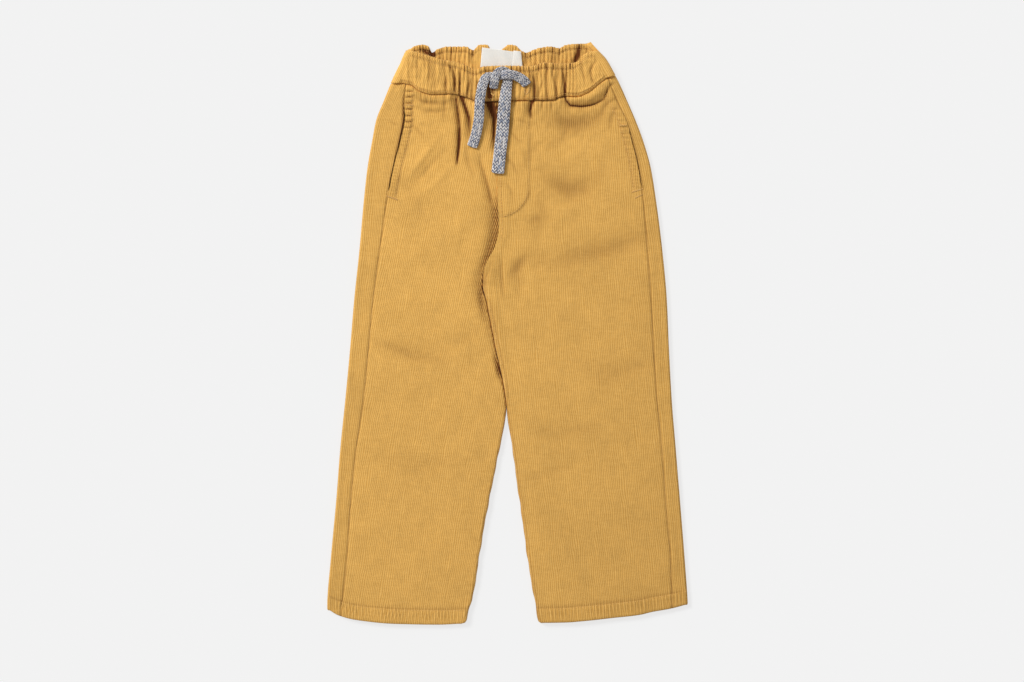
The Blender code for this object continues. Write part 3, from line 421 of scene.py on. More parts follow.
CASING_CREASES = table(Crease,
    (((-19, 284), (-18, 272), (-19, 260)), 3.4, -1.3, 1.25, 0.5, 1.0),
    (((-73, 300), (-72, 285), (-71, 268)), 1.5, -0.7, 0.3, 0.5, 0.2),
    (((-92, 306), (-90, 290)), 1.6, -0.6, 0.25, 0.5),
    (((-103, 308), (-98, 290), (-97, 277)), 2.0, -0.5, 0.2, 0.3, 0.2),
    (((-86, 303), (-85, 290), (-86, 272)), 1.5, -0.9, 0.42, 0.4, 0.2),
    (((-75, 285), (-76, 270)), 1.2, -0.7, 0.30, 0.0, 0.5),
    (((-67, 284), (-68, 268)), 1.3, -0.8, 0.34, 0.0, 0.5),
    (((-112, 290), (-104, 284), (-94, 283)), 2.4, 0.6),
    (((-118, 279), (-107, 277.5), (-96, 270), (-83, 266.5), (-64, 267)), 1.5, 0.7, 0.0, 0.6, 0.4),
    (((-108, 298), (-101, 292), (-96, 294)), 2.0, -0.5, 0.16),
    (((66, 265), (78, 264.5), (90, 269), (103, 279.5), (112, 285)), 1.6, 0.8, 0.0, 0.3, 0.6),
    (((78, 296), (86, 300), (97, 299)), 2.2, 0.7, 0.0, 0.2),
    (((99, 297), (103, 289), (106, 282)), 4.6, 0.9),
    (((12, 292), (11, 276)), 1.4, -0.6, 0.3, 0.6),
    (((34, 296), (35, 284)), 1.2, -0.9, 0.45, 1.0),
    (((43, 297), (44, 284)), 1.1, -0.8, 0.4, 1.0),
    (((56, 296), (57, 282), (58, 268)), 1.3, -0.8, 0.3, 0.8, 0.1),
    (((-68, 299), (-64, 294), (-60, 288), (-58, 279), (-58, 266)), 1.7, -1.8, 0.72, 0.1, 1.0),
    (((-52, 290), (-52, 279), (-53, 263)), 1.4, -1.5, 0.72, 0.0, 1.0),
    (((-40, 281), (-43, 270), (-45, 258)), 1.4, -1.1, 0.6, 0.0, 0.4),
    (((-80, 299), (-81, 281), (-80, 268)), 1.6, -0.6, 0.25, 0.3, 0.3),
    (((-33, 279), (-34, 266)), 1.4, -0.9, 0.4, 0.1, 0.4),
    (((25, 289), (29, 278), (30, 255)), 2.8, -1.6, 0.7, 0.2, 1.0),
    (((41, 281), (37, 272), (34, 261)), 1.3, -0.6, 0.35, 0.0, 0.3),
    (((48, 291), (51, 280), (53, 270), (54, 257)), 1.4, -0.8, 0.38, 0.2, 0.6),
    (((60, 294), (62, 279), (63, 262)), 1.6, -1.6, 0.70, 0.1, 1.0),
    (((65, 291), (64, 274), (63, 263)), 1.2, -0.8, 0.45, 0.0, 0.8),
    (((69, 299), (69, 289)), 1.1, -0.8, 0.6, 1.0),
    (((81, 300), (82, 289), (86, 273)), 1.4, -0.8, 0.36, 0.8, 0.2),
    (((96, 305), (96.5, 299), (91, 289), (92.5, 279), (98, 273)), 1.4, -0.9, 0.42, 0.3, 0.5),
)
INNER_CREASES = table(Crease,    # the inside of the back casing, above the front one
    (((-94, 312), (-82, 307)), 3.4, -1.2, 1.1, 0.5, 0.8),
    (((-82, 316), (-83, 300)), 2.0, -1.6, 0.7, 0.6, 0.8),
    (((-38, 314), (-40, 298)), 1.8, -1.0, 0.4, 0.6, 0.6),
    (((20, 312), (20, 298)), 2.4, -1.2, 0.5, 0.7, 0.7),
    (((57, 316), (56, 300)), 1.6, -0.9, 0.35, 0.7, 0.7),
    (((80, 317), (77, 306), (74, 300)), 3.2, -1.4, 1.0, 0.5, 0.9),
)
RIPPLES = (                 # wavelength, direction in degrees, phase, height
    (97.0, 74.0, 0.4, 0.34), (61.0, 103.0, 2.1, 0.24), (43.0, 48.0, 4.0, 0.14), (71.0, 12.0, 1.2, 0.18),
    (29.0, 128.0, 5.1, 0.07), (23.0, 66.0, 0.9, 0.06),
)
CRUMPLES = (                # the same for the small crumples near the waist
    (13.0, 24.0, 0.7, 0.16), (9.5, 151.0, 3.2, 0.13), (17.0, 97.0, 5.0, 0.15), (7.3, 62.0, 1.9, 0.09),
    (11.0, 118.0, 4.4, 0.10),
)

# Beside the middle line the wearer's right leg dips under the left one: width and darkness of the shade
# painted there.
Shade = namedtuple("Shade", "y reach dark")
MIDDLE_SHADE = table(Shade,
    (-60, 3.0, 0.1), (-51, 4.0, 0.4), (-43, 5.2, 0.9), (-31, 5.2, 0.75), (-17, 4.6, 0.24),
    (-5, 5.0, 0.10), (15, 6.0, 0.11), (34, 7.8, 0.21), (50, 7.0, 0.25), (66, 4.8, 0.22),
    (79, 6.2, 0.40), (92, 9.2, 0.44), (106, 9.8, 0.42), (122, 9.4, 0.36), (136, 7.4, 0.26),
    (150, 3.6, 0.20), (168, 1.6, 0.20), (262, 1.2, 0.20),
)
middle_reach = curve(MIDDLE_SHADE, "y", "reach")
middle_shade = curve(MIDDLE_SHADE, "y", "dark")

# Slant of the cords of the corduroy: how far they move sideways per millimetre down.
Slant = namedtuple("Slant", "y slant")
RIGHT_SLANT = table(Slant, (-320, 0.145), (-200, 0.155), (-60, 0.18), (60, 0.21), (150, 0.20),
                    (210, 0.15), (330, 0.14))
LEFT_SLANT = table(Slant, (-320, -0.095), (-100, -0.115), (20, -0.09), (150, -0.06), (330, -0.06))


class Relief:
    """The height, and the painted shade, that folds, seams and gathers add to the points of a face."""

    def __init__(self, x):
        self.height = np.zeros(np.shape(x))
        self.dark = np.zeros(np.shape(x))

    def add(self, strength, height=0.0, dark=0.0):
        self.height = self.height + height * strength
        self.dark = self.dark + dark * strength

    def crease(self, creases, x, y):
        for crease in creases:
            self.add(bell_along(crease, x, y), crease.depth, crease.dark)


def bell_along(crease, x, y):
    """Strength of a crease: a soft bell across its line, fading at the ends."""
    strength = np.zeros(np.shape(x))
    points = np.array(crease.line, dtype=float)
    reach = 3.2 * crease.width
    low = points.min(axis=0) - reach
    high = points.max(axis=0) + reach
    near = (x > low[0]) & (x < high[0]) & (y > low[1]) & (y < high[1])
    if not np.any(near):
        return strength
    px = x[near]
    py = y[near]
    lengths = np.hypot(*np.diff(points, axis=0).T)
    nearest = np.full(px.shape, 1e9)
    along = np.zeros(px.shape)
    start = 0.0
    for (x0, y0), (x1, y1), length in zip(points[:-1], points[1:], lengths):
        t = limited(((px - x0) * (x1 - x0) + (py - y0) * (y1 - y0)) / length ** 2)
        distance = np.hypot(px - x0 - t * (x1 - x0), py - y0 - t * (y1 - y0))
        closer = distance < nearest
        nearest = np.where(closer, distance, nearest)
        along = np.where(closer, (start + t * length) / lengths.sum(), along)
        start += length
    middle = 1 - (crease.first + crease.last) / 2
    fade = crease.first * (1 - along) + crease.last * along + 4 * along * (1 - along) * middle
    strength[near] = fade * bell(nearest, crease.width)
    return strength


def rippled(waves, x, y):
    """Unevenness of cloth that has been laid down by hand."""
    height = np.zeros(np.shape(x))
    for wavelength, direction, phase, amount in waves:
        turn = math.radians(direction)
        place = (x * math.cos(turn) + y * math.sin(turn)) * 2.0 * math.pi / wavelength
        beside = (y * math.cos(turn) - x * math.sin(turn)) * 2.0 * math.pi / wavelength
        patchy = 0.6 + 0.4 * np.sin(0.41 * beside + 2.0 * phase)
        height = height + amount * patchy * np.sin(place + phase + 0.8 * np.sin(place * 0.37 + 0.3 * beside))
    return height


def hollows(wave, limit=0.0):
    """The low parts of a wave, which get painted shade."""
    return limited(-wave - limit)


def gather_wave(x, share, phase):
    """Rounded crests with sharp hollows, three to six millimetres apart, wandering down the casing."""
    place = x / GATHER_PITCH + 0.42 * np.sin(x / 15.0 + phase) + 0.22 * np.sin(x / 6.3 + 2.0 * phase)
    place = place + 0.14 * np.sin(4.5 * share + x / 8.0)
    wide = np.sqrt(np.cos(math.pi * place) ** 2 + 0.04)
    narrow = np.sqrt(np.cos(math.pi * (1.58 * place + 0.3 * np.sin(x / 4.7))) ** 2 + 0.05)
    mix = ease(share, 0.55, 0.85)
    return wide * (1.0 - 0.45 * mix) + narrow * 0.45 * mix - 0.62


def drawn_in(x):
    """How deep the casing's seam lies: hardly at the hips, deepest under the gathers."""
    hips = 0.05 + 0.25 * ease(x, -112.0, -96.0) + 0.70 * ease(x, -66.0, -52.0) - 0.95 * ease(x, 60.0, 68.0)
    return hips - 0.5 * between(x, -4.0, 4.0, 24.0, 32.0)


def gathered_zone(x):
    """How strongly the casing is gathered: nearly smooth over the wearer's left hip."""
    return 0.45 + 0.55 * ease(x, -76.0, -62.0) - 0.72 * ease(x, 66.0, 80.0)


# ---------------------------------------------------------------- seams, hem and mock fly
def fly_edge(y):
    turn = limited((FLY_TURN_Y - y) / (FLY_TURN_Y - FLY_END_Y))
    return LEFT.inner(y) + (FLY_X - LEFT.inner(y)) * np.sqrt(1.0 - turn ** 2)


def add_fly(relief, x, y):
    """The doubled cloth of the mock fly, inside its J-shaped stitch line."""
    beyond = x - fly_edge(y)
    on_fly = x > LEFT.inner(y) - 0.5
    above_end = ease(y, FLY_END_Y - 1.0, FLY_END_Y + 2.0) * on_fly
    relief.add((1.0 - ease(beyond, -2.0, 1.0)) * above_end, height=FLY_RAISE)
    relief.add(bell(beyond + FLY_STITCH, THREAD_WIDTH) * (y > FLY_END_Y) * on_fly, height=-THREAD_SINK)
    bowed = 1.0 - ease(y, FLY_TURN_Y - 12.0, FLY_TURN_Y + 4.0)
    # painted shade along the fly's edge, stronger where it bows
    relief.add((0.10 + 0.30 * bowed) * bell(beyond - 0.6, 1.3) * above_end, dark=1.0)


def add_pocket(relief, leg, inside, y):
    """The outseam, with small puckers beside it, and the doubled edge of the pocket mouth."""
    low = leg.mouth.low
    high = leg.mouth.high
    mouth = between(y, low - 4.0, low + 2.0, high, high + 30.0)
    closed = 1.0 - mouth
    # painted shade along the closed seam, on the stitch rows, in the hollows of the rungs and tucks, and
    # inside the mouth
    relief.add(bell(inside, 1.6) * closed, height=-0.55)
    relief.add(bell(inside, 0.9) * closed, dark=0.52)
    relief.add(swung(y, 1.45, 1.5, 23.0) * bell(inside, 5.0) * closed, height=0.24)
    relief.add(mouth * between(inside, -0.5, 0.5, POCKET_STITCH - 1.5, POCKET_STITCH + 3.0), height=0.6)
    relief.add(mouth * bell(inside - POCKET_STITCH, 1.5), height=-0.45, dark=0.20)
    near_rows = bell(inside - 5.4, 4.8, 4)
    rungs = swung(y, 0.66, 1.3, 9.0) * near_rows
    relief.add(mouth * rungs, height=0.18)
    relief.add(mouth * hollows(rungs, 0.2), dark=0.30)
    upper = between(y, high - 34.0, high - 12.0, high + 20.0, high + 30.0)
    tucks = np.cos(y / RUNG_PITCH * 2.0 * math.pi + 0.9 * np.sin(y / 11.0)) * upper * near_rows
    tucks = tucks * (1.0 if leg is RIGHT else 0.5)
    relief.add(tucks, height=0.75)
    relief.add(hollows(tucks, 0.40), dark=1.5)
    deep = 0.30 + 0.70 * ease(y, low + 34.0, low + 60.0) * (leg is RIGHT)
    relief.add(mouth * deep * bell(inside + 0.7, 1.5), dark=1.0)


def add_middle(relief, leg, to_middle, y):
    """The centre front and the inseam: the wearer's right leg dips under the left one."""
    # painted shade where the right leg dips under the left one, along the left leg's stitch rows and in the
    # puckers' hollows
    if leg is RIGHT:
        shade = middle_shade(y) * bell(np.maximum(to_middle, 0.0), np.maximum(middle_reach(y), 0.5), 4)
        relief.add(shade, height=-1.2, dark=1.0)
    else:
        relief.add(bell(to_middle, 1.5), height=0.45)
        stitched = bell(to_middle - MIDDLE_STITCH, THREAD_WIDTH) * (1.0 - ease(-y, 60.0, 76.0))
        relief.add(stitched, height=-0.3, dark=0.10)
        inset = 2.7 + 2.5 * ease(y, -84.0, -50.0)
        relief.add(bell(to_middle - inset, 1.1) * ease(-y, -44.0, -30.0), height=-0.35, dark=0.20)
    puckers = swung(y, 1.5, 1.2, 17.0) * bell(to_middle, 7.0)
    relief.add(puckers, height=0.24)
    relief.add(hollows(puckers), dark=0.07)


def add_hem(relief, x, above_hem, off_edge):
    """The hem's stitch row draws the cloth in, with slanted puckers on both sides of it."""
    relief.add(bell(above_hem - HEM_ROW, THREAD_WIDTH) * off_edge, height=-0.4)
    # painted shade above the hem's turned edge and in the puckers' hollows
    relief.add(bell(above_hem - HEM_DEPTH - 0.6, 1.1), dark=0.24)
    reach = bell(above_hem - HEM_DEPTH + 6.0, 7.5)
    puckers = np.sin(x / 0.58 + 0.12 * above_hem + 1.1 * np.sin(x / 13.0)) * (0.76 + 0.24 * np.sin(x / 7.3))
    relief.add(puckers * reach * off_edge, height=0.42)
    relief.add(hollows(puckers) * reach, dark=0.30)


def front_shape(leg, x, y):
    """Middle of the top wall of a leg, and the painted shade of its hollows."""
    x = np.asarray(x, dtype=float)
    y = np.asarray(y, dtype=float)
    from_outer = np.abs(leg.outer(y) - x)
    from_inner = np.abs(leg.inner(y) - x) + 200.0 * ease(y, CROTCH_Y - 10.0, CROTCH_Y + 20.0)
    to_seam = y - front_seam(x)
    below_seam = np.maximum(-to_seam, 0.0)
    away_from_outer = ease(from_outer, 2.0, 12.0)
    relief = Relief(x)
    relief.add(bell(from_outer, EDGE_SOFTNESS) + 0.5 * bell(from_inner, EDGE_SOFTNESS), height=-EDGE_SINK)
    relief.add(ease(to_seam, -RISE_LENGTH, 0.0), height=RISE_TO_BAND)
    relief.crease(FOLDS, x, y)
    relief.crease(PANEL_CREASES, x, y)
    relief.add(rippled(RIPPLES, x, y) * away_from_outer, height=1.0)
    crumpled = 0.16 + 0.84 * ease(to_seam, -95.0, -8.0)
    relief.add(rippled(CRUMPLES, x, y) * crumpled * away_from_outer, height=1.0)
    add_pocket(relief, leg, leg.sign * (leg.outseam(y) - x), y)
    add_middle(relief, leg, leg.sign * (x - leg.inner(y)), y)
    add_hem(relief, x, y - leg.hem(x), ease(from_outer, 1.0, 5.0))
    pucker = gather_wave(x, 0.0, 0.6) * np.exp(-below_seam / 8.0) * gathered_zone(x)
    relief.add(pucker * ease(from_outer, 4.0, 14.0), height=1.3)
    # painted shade in the puckers' hollows and along the casing's seam
    relief.add(hollows(pucker), dark=0.5)
    relief.add(drawn_in(x) * bell(below_seam, 1.6), dark=0.5)
    if leg is LEFT:
        add_fly(relief, x, y)
    height = LEG_HEIGHT + relief.height
    tucked = BAND_LIFT - SEAM_GAP - CLOTH / 2
    narrowing = TUCK_AT_HIPS + (1.0 - TUCK_AT_HIPS) * drawn_in(x)
    under_band = ease(to_seam, -TUCK_LENGTH * narrowing, -TUCK_MARGIN * narrowing)
    height = height - np.maximum(height - tucked, 0.0) * under_band
    return np.maximum(height, LOWEST_MIDDLE), relief.dark


def front_height(leg, x, y):
    return front_shape(leg, x, y)[0]


def back_shape(leg, x, y):
    """How far the under wall rises from the floor in its creases and seams, and the painted shade in them."""
    relief = Relief(x)
    relief.crease(BACK_CREASES, x, y)
    relief.add(bell(x - leg.inner(y), 2.0), height=0.5, dark=0.35)
    relief.add(bell(y - leg.hem(x) - HEM_ROW, 1.5), height=0.35, dark=0.22)
    below_seam = np.maximum(back_seam(x) - y, 0.0)
    relief.add(limited(gather_wave(x, 0.0, 2.3)) * np.exp(-below_seam / 9.0), height=1.4, dark=0.4)
    room = front_height(leg, x, y) - 1.5 * CLOTH - SEAM_GAP
    return np.clip(relief.height, 0.0, np.maximum(room, 0.0)), relief.dark


def panel_top(leg, x):
    """Upper edge of the top wall: tucked under the casing, but short of the casing's side turn."""
    from_outer = np.abs(leg.outer(front_seam(x)) - x)
    return front_seam(x) - SIDE_GAP + (TUCK + SIDE_GAP) * ease(from_outer, SIDE_TURN, SIDE_TURN + 4.0)


def mouth_opening(leg, y):
    """How far the outseam stands open at a pocket mouth."""
    mouth = leg.mouth
    return mouth.open * between(y, mouth.low, mouth.low + 8.0, mouth.high - 8.0, mouth.high)


def slant_shift(slants, y):
    """Sideways shift of the corduroy's cords at a height, summed from their slant."""
    heights = np.linspace(-330.0, 330.0, 400)
    slant = curve(slants, "y", "slant")(heights)
    shift = running_total(0.5 * (slant[1:] + slant[:-1]) * np.diff(heights))
    return np.interp(y, heights, shift)


# ---------------------------------------------------------------- walls from grids of points
def wall_normals(centre):
    """Unit normals of a grid of points, turned so that its first column's face up."""
    normals = unit(np.cross(np.gradient(centre, axis=0), np.gradient(centre, axis=1)))
    if normals[0, centre.shape[1] // 2, 2] <= 0:
        normals = -normals
    return normals


def link(name, data):
    obj = bpy.data.objects.new(name, data)
    bpy.context.scene.collection.objects.link(obj)
    return obj


def add_object(name, points, faces, material, grain, dark=None):
    """A closed mesh with its grain coordinates in millimetres and the painted shade of its hollows."""
    mesh = bpy.data.meshes.new(name)
    mesh.from_pydata((np.asarray(points) * MM).tolist(), [], faces)
    shape = bmesh.new()
    shape.from_mesh(mesh)
    bmesh.ops.recalc_face_normals(shape, faces=shape.faces)
    shape.to_mesh(mesh)
    shape.free()
    mesh.shade_smooth()
    mesh.set_sharp_from_angle(angle=math.radians(75))
    corners = np.empty(len(mesh.loops), dtype=np.int32)
    mesh.loops.foreach_get("vertex_index", corners)
    layer = mesh.uv_layers.new(name="grain")
    layer.data.foreach_set("uv", np.asarray(grain, dtype=np.float32)[corners].ravel())
    if dark is not None:
        # the painted shade of folds, creases and seams, which darkens the cloth's colour
        shade = mesh.attributes.new("hollow", "FLOAT", "POINT")
        shade.data.foreach_set("value", np.asarray(dark, dtype=np.float32).ravel())
    mesh.materials.append(material)
    return link(name, mesh)


def add_wall(name, outside, inside, material, grain, dark):
    """One closed wall between two grids of points of the same size."""
    columns, rows = outside.shape[:2]
    points = np.concatenate([outside.reshape(-1, 3), inside.reshape(-1, 3)])
    order = np.arange(columns * rows).reshape(columns, rows)
    quads = np.stack([order[:-1, :-1], order[1:, :-1], order[1:, 1:], order[:-1, 1:]], axis=-1).reshape(-1, 4)
    below = quads[:, ::-1] + columns * rows
    rim = np.concatenate([order[:, 0], order[-1, 1:], order[-2::-1, -1], order[0, -2:0:-1]])
    following = np.roll(rim, -1)
    edge = np.stack([following, rim, rim + columns * rows, following + columns * rows], axis=-1)
    faces = np.concatenate([quads, below, edge]).tolist()
    both_grain = np.concatenate([grain.reshape(-1, 2)] * 2)
    return add_object(name, points, faces, material, both_grain, np.concatenate([dark.ravel()] * 2))


def rounded(distance, reach):
    """Half thickness near an edge, as a share: a quarter circle over the reach."""
    return 0.3 + 0.7 * np.sqrt(1.0 - (1.0 - limited(distance / reach)) ** 2)


# ---------------------------------------------------------------- leg panels
# Heights above the hem where the leg panels have a row, as spans with a number of rows.
Span = namedtuple("Span", "start end rows")
ROW_SPANS = table(Span,
    (0.0, 15.0, 9), (15.0, 18.0, 3), (18.0, 340.0, 104), (340.0, 400.0, 26),
    (400.0, 510.0, 58), (510.0, 569.0, 40), (569.0, 575.7, 6), (575.7, 580.0, 3),
)


def row_shares():
    """Heights of the rows above the hem, as shares of the length up to the waist seam."""
    heights = [0.0]
    for span in ROW_SPANS:
        heights += list(np.linspace(span.start, span.end, span.rows + 1)[1:])
    return np.array(heights) / heights[-1]


def on_top(leg, first, last, x, shares, parts):
    """Heights y and z, and the darkness, of the top wall between two of a leg's lines."""
    y = leg.rows(first, last, lambda place: panel_top(leg, place), shares, parts)
    z, dark = front_shape(leg, x, y)
    return y, z, dark


def front_grid(leg, shares):
    """Middle surface of a front panel: flat part first, then the turn down to the inseam."""
    parts = np.linspace(0.0, 1.0, FRONT_COLUMNS)
    seat = CLOTH + SEAM_GAP         # the turned edge ends just above the back panel
    y_outseam = leg.end_height("outseam", front_seam, shares)
    y_inner = leg.end_height("inner", front_seam, shares)
    start = leg.outseam(y_outseam) - leg.sign * (SEAM_GAP / 2 + mouth_opening(leg, y_outseam))
    end = leg.inner(y_inner)
    down = 1.0 - ease(y_inner, CROTCH_Y - 6.0, CROTCH_Y + 8.0)
    angle = np.maximum(down * math.pi / 2, 0.02)
    drop = front_height(leg, end + leg.sign * 5.0, y_inner) - seat
    radius = drop * (1.0 - INSEAM_SHARPNESS * down)
    arc = radius * math.pi / 2
    flat_end = end + leg.sign * (arc * np.sin(angle) / angle + CLOTH / 2 * down)
    x = start[None, :] + parts[:, None] * (flat_end - start)[None, :]
    y, z, dark = on_top(leg, "outseam", "inner", x, shares, parts)
    layers = [np.stack([x, y, z], axis=2)]
    for step in range(1, TURN_STEPS + 1):
        part = angle * step / TURN_STEPS
        reach = arc * np.sin(part) / angle
        fall = arc * (1.0 - np.cos(part)) / angle
        turned = np.stack([x[-1] - leg.sign * reach, y[-1], z[-1] - fall * (z[-1] - seat) / radius], axis=1)
        layers.append(turned[None])
    dark = np.concatenate([dark, np.repeat(dark[-1:], TURN_STEPS, axis=0)])
    return np.concatenate(layers), dark


def back_grid(leg, shares):
    """Middle surface of a back panel: outseam, outer edge, then flat under the leg."""
    strip_parts = np.linspace(0.0, 1.0, STRIP_COLUMNS)
    under_parts = np.linspace(0.0, 1.0, UNDER_COLUMNS)
    y_outer = leg.end_height("outer", front_seam, shares)
    start = leg.outseam(leg.end_height("outseam", front_seam, shares)) + leg.sign * SEAM_GAP / 2
    outer = leg.outer(y_outer) - leg.sign * CLOTH / 2
    inner = leg.inner(leg.end_height("inner", back_seam, shares))
    edge_height = front_height(leg, outer, y_outer)
    radius = (edge_height - CLOTH / 2) / 2
    turn_x = outer - leg.sign * radius
    x = start[None, :] + strip_parts[:, None] * (turn_x - start)[None, :]
    y, z, dark = on_top(leg, "outseam", "outer", x, shares, strip_parts)
    z = z + (edge_height[None, :] - z) * ease(strip_parts, SLOPE_AT_EDGE, 1.0)[:, None]
    layers = [np.stack([x, y, z], axis=2)]
    for step in range(1, TURN_STEPS + 1):
        turn = math.pi * step / (TURN_STEPS + 1)
        place = np.stack([turn_x + leg.sign * radius * math.sin(turn), y[-1],
                          CLOTH / 2 + radius * (1.0 + math.cos(turn))], axis=1)
        layers.append(place[None])
    x = turn_x[None, :] + under_parts[:, None] * (inner - turn_x)[None, :]
    y = leg.rows("outer", "inner", lambda place: back_seam(place) - SIDE_GAP, shares, under_parts)
    rise, under_dark = back_shape(leg, x, y)
    layers.append(np.stack([x, y, CLOTH / 2 + rise * ease(under_parts, 0.0, 0.12)[:, None]], axis=2))
    dark = np.concatenate([dark, np.zeros((TURN_STEPS, len(shares))), under_dark])
    return np.concatenate(layers), dark


def turned_hem(above_hem):
    """1 on the turned cloth of the hem and 0 above it."""
    return 1.0 - ease(above_hem, HEM_DEPTH - 1.5, HEM_DEPTH + 1.0)


def add_panel(name, grid, dark, normals, grain, material):
    """A panel's wall, rounded at the hem's edge and thicker where the cloth is turned up."""
    above_hem = grid[:, :, 1] - grid[:, :1, 1]
    share = rounded(above_hem, ROLL)
    half = CLOTH / 2 * share
    raised = HEM_RAISE * turned_hem(above_hem) * limited(normals[:, :, 2])
    outside = grid + normals * (half + raised * share)[..., None]
    inside = grid - normals * half[..., None]
    return add_wall(name, outside, inside, material, grain, dark)


def front_panel(name, leg, slants, material):
    grid, dark = front_grid(leg, row_shares())
    grain = np.stack([grid[:, :, 0] - slant_shift(slants, grid[:, :, 1]), grid[:, :, 1]], axis=2)
    return add_panel(name, grid, dark, wall_normals(grid), grain, material)


def back_panel(name, leg, material):
    """The grain of a back panel runs along the leg's outer edge."""
    grid, dark = back_grid(leg, row_shares())
    normals = wall_normals(grid)
    normals[STRIP_COLUMNS + TURN_STEPS:STRIP_COLUMNS + TURN_STEPS + 3] = (0.0, 0.0, -1.0)
    around = running_total(np.linalg.norm(np.diff(grid, axis=0), axis=2))
    around = around - around[STRIP_COLUMNS]
    grain = np.stack([leg.sign * around, grid[:, :, 1]], axis=2)
    return add_panel(name, grid, dark, normals, grain, material)


# ---------------------------------------------------------------- gathered casing
BAND_COLUMN = 0.52          # distance between the casing's columns
BAND_ROWS = 44
BAND_TURN_STEPS = 8
BAND_EDGE = 3.0             # distance over which the casing's folded upper edge rounds off
SEAM_EDGE = 7.0             # distance over which it sinks to its seam
FRONT_GATHER_HEIGHT = 2.1
INNER_GATHER_HEIGHT = 1.9
UNDER_PLEAT = 1.5           # depth of the pleats on the casing's under side
CREST_WOBBLE = 0.9          # how far the gathers ruffle the casing's upper edge
THINNEST = 0.9              # wall of the casing at the bottom of a pleat

Band = namedtuple("Band", "name low high span base height creases gather phase")
FRONT_BAND = Band("cloth_casing_front", lambda x: front_seam(x) + BAND_GAP, front_top, (-112.0, 100.0),
                  JOIN_HEIGHT + SEAM_GAP / 2, BAND_LIFT + BAND_WALL / 2, CASING_CREASES,
                  FRONT_GATHER_HEIGHT, 0.6)
BACK_BAND = Band("cloth_casing_back", lambda x: back_seam(x) + BAND_GAP, back_top, (-112.0, 98.0),
                 JOIN_HEIGHT - SEAM_GAP / 2, BAND_WALL / 2, INNER_CREASES, INNER_GATHER_HEIGHT, 2.3)


def band_relief(band, x, y, share):
    """The gathers, pleats and stitched rows of a casing."""
    header = band.high(x) - y
    seam = y - band.low(x)
    wave = gather_wave(x, share, band.phase)
    relief = Relief(x)
    # painted shade along the seam and the stitched row, and in the hollows of the gathers, ruffles and
    # creases
    if band is FRONT_BAND:
        zone = gathered_zone(x)
        relief.add(bell(seam - CASING_STITCH, 1.2), height=-0.5)
        relief.add(drawn_in(x) * bell(seam, 1.4), dark=0.3)
        relief.add(bell(seam - 3.2, 0.8) * ease(x, 58.0, 70.0), dark=0.26)
    else:
        low, high = LABEL_SPAN
        outside = 1.0 - ease(x, low - 6.0, low) + ease(x, high, high + 6.0)
        zone = (1.0 - 0.35 * ease(x, 70.0, 90.0)) * outside
    strength = 0.55 + 0.45 * ease(share, 0.45, 0.8)
    relief.add(zone * strength * wave, height=band.gather)
    relief.add(hollows(wave, 0.05) * zone * strength, dark=1.08)
    wide = np.sin(x / 2.1 + 1.7 * np.sin(x / 8.7 + band.phase) + 1.2 * share) * np.sin(x / 13.0 + 1.0)
    relief.add(zone * wide, height=0.9)
    relief.add(hollows(wide) * zone, dark=0.30)
    ruffle = swung(x, 0.48, 1.6, 4.1, band.phase) * bell(header, HEADER)
    relief.add(ruffle, height=0.55)
    relief.add(hollows(ruffle), dark=0.34)
    stitched = bell(header - HEADER, 1.3)
    relief.add(stitched * (0.4 + 0.6 * zone), height=-0.9)
    relief.add(stitched * (0.3 + zone), dark=0.22)
    relief.crease(band.creases, x, y)
    relief.add(rippled(CRUMPLES, x, y) * ease(seam, 0.0, 6.0) * ease(header, 0.0, 6.0), height=1.3)
    return relief


def band_top(band, x, y):
    """Height of a casing's upper face."""
    share = limited((y - band.low(x)) / (band.high(x) - band.low(x)))
    return band.height + BAND_WALL / 2 + band_relief(band, x, y, share).height


def side_end(outline, band, share, start):
    """Where a row of the casing meets the outline at the side."""
    x = start
    for _ in range(12):
        y = band.low(x) + share * (band.high(x) - band.low(x))
        x = 0.5 * (x + float(outline(y)))
    return x


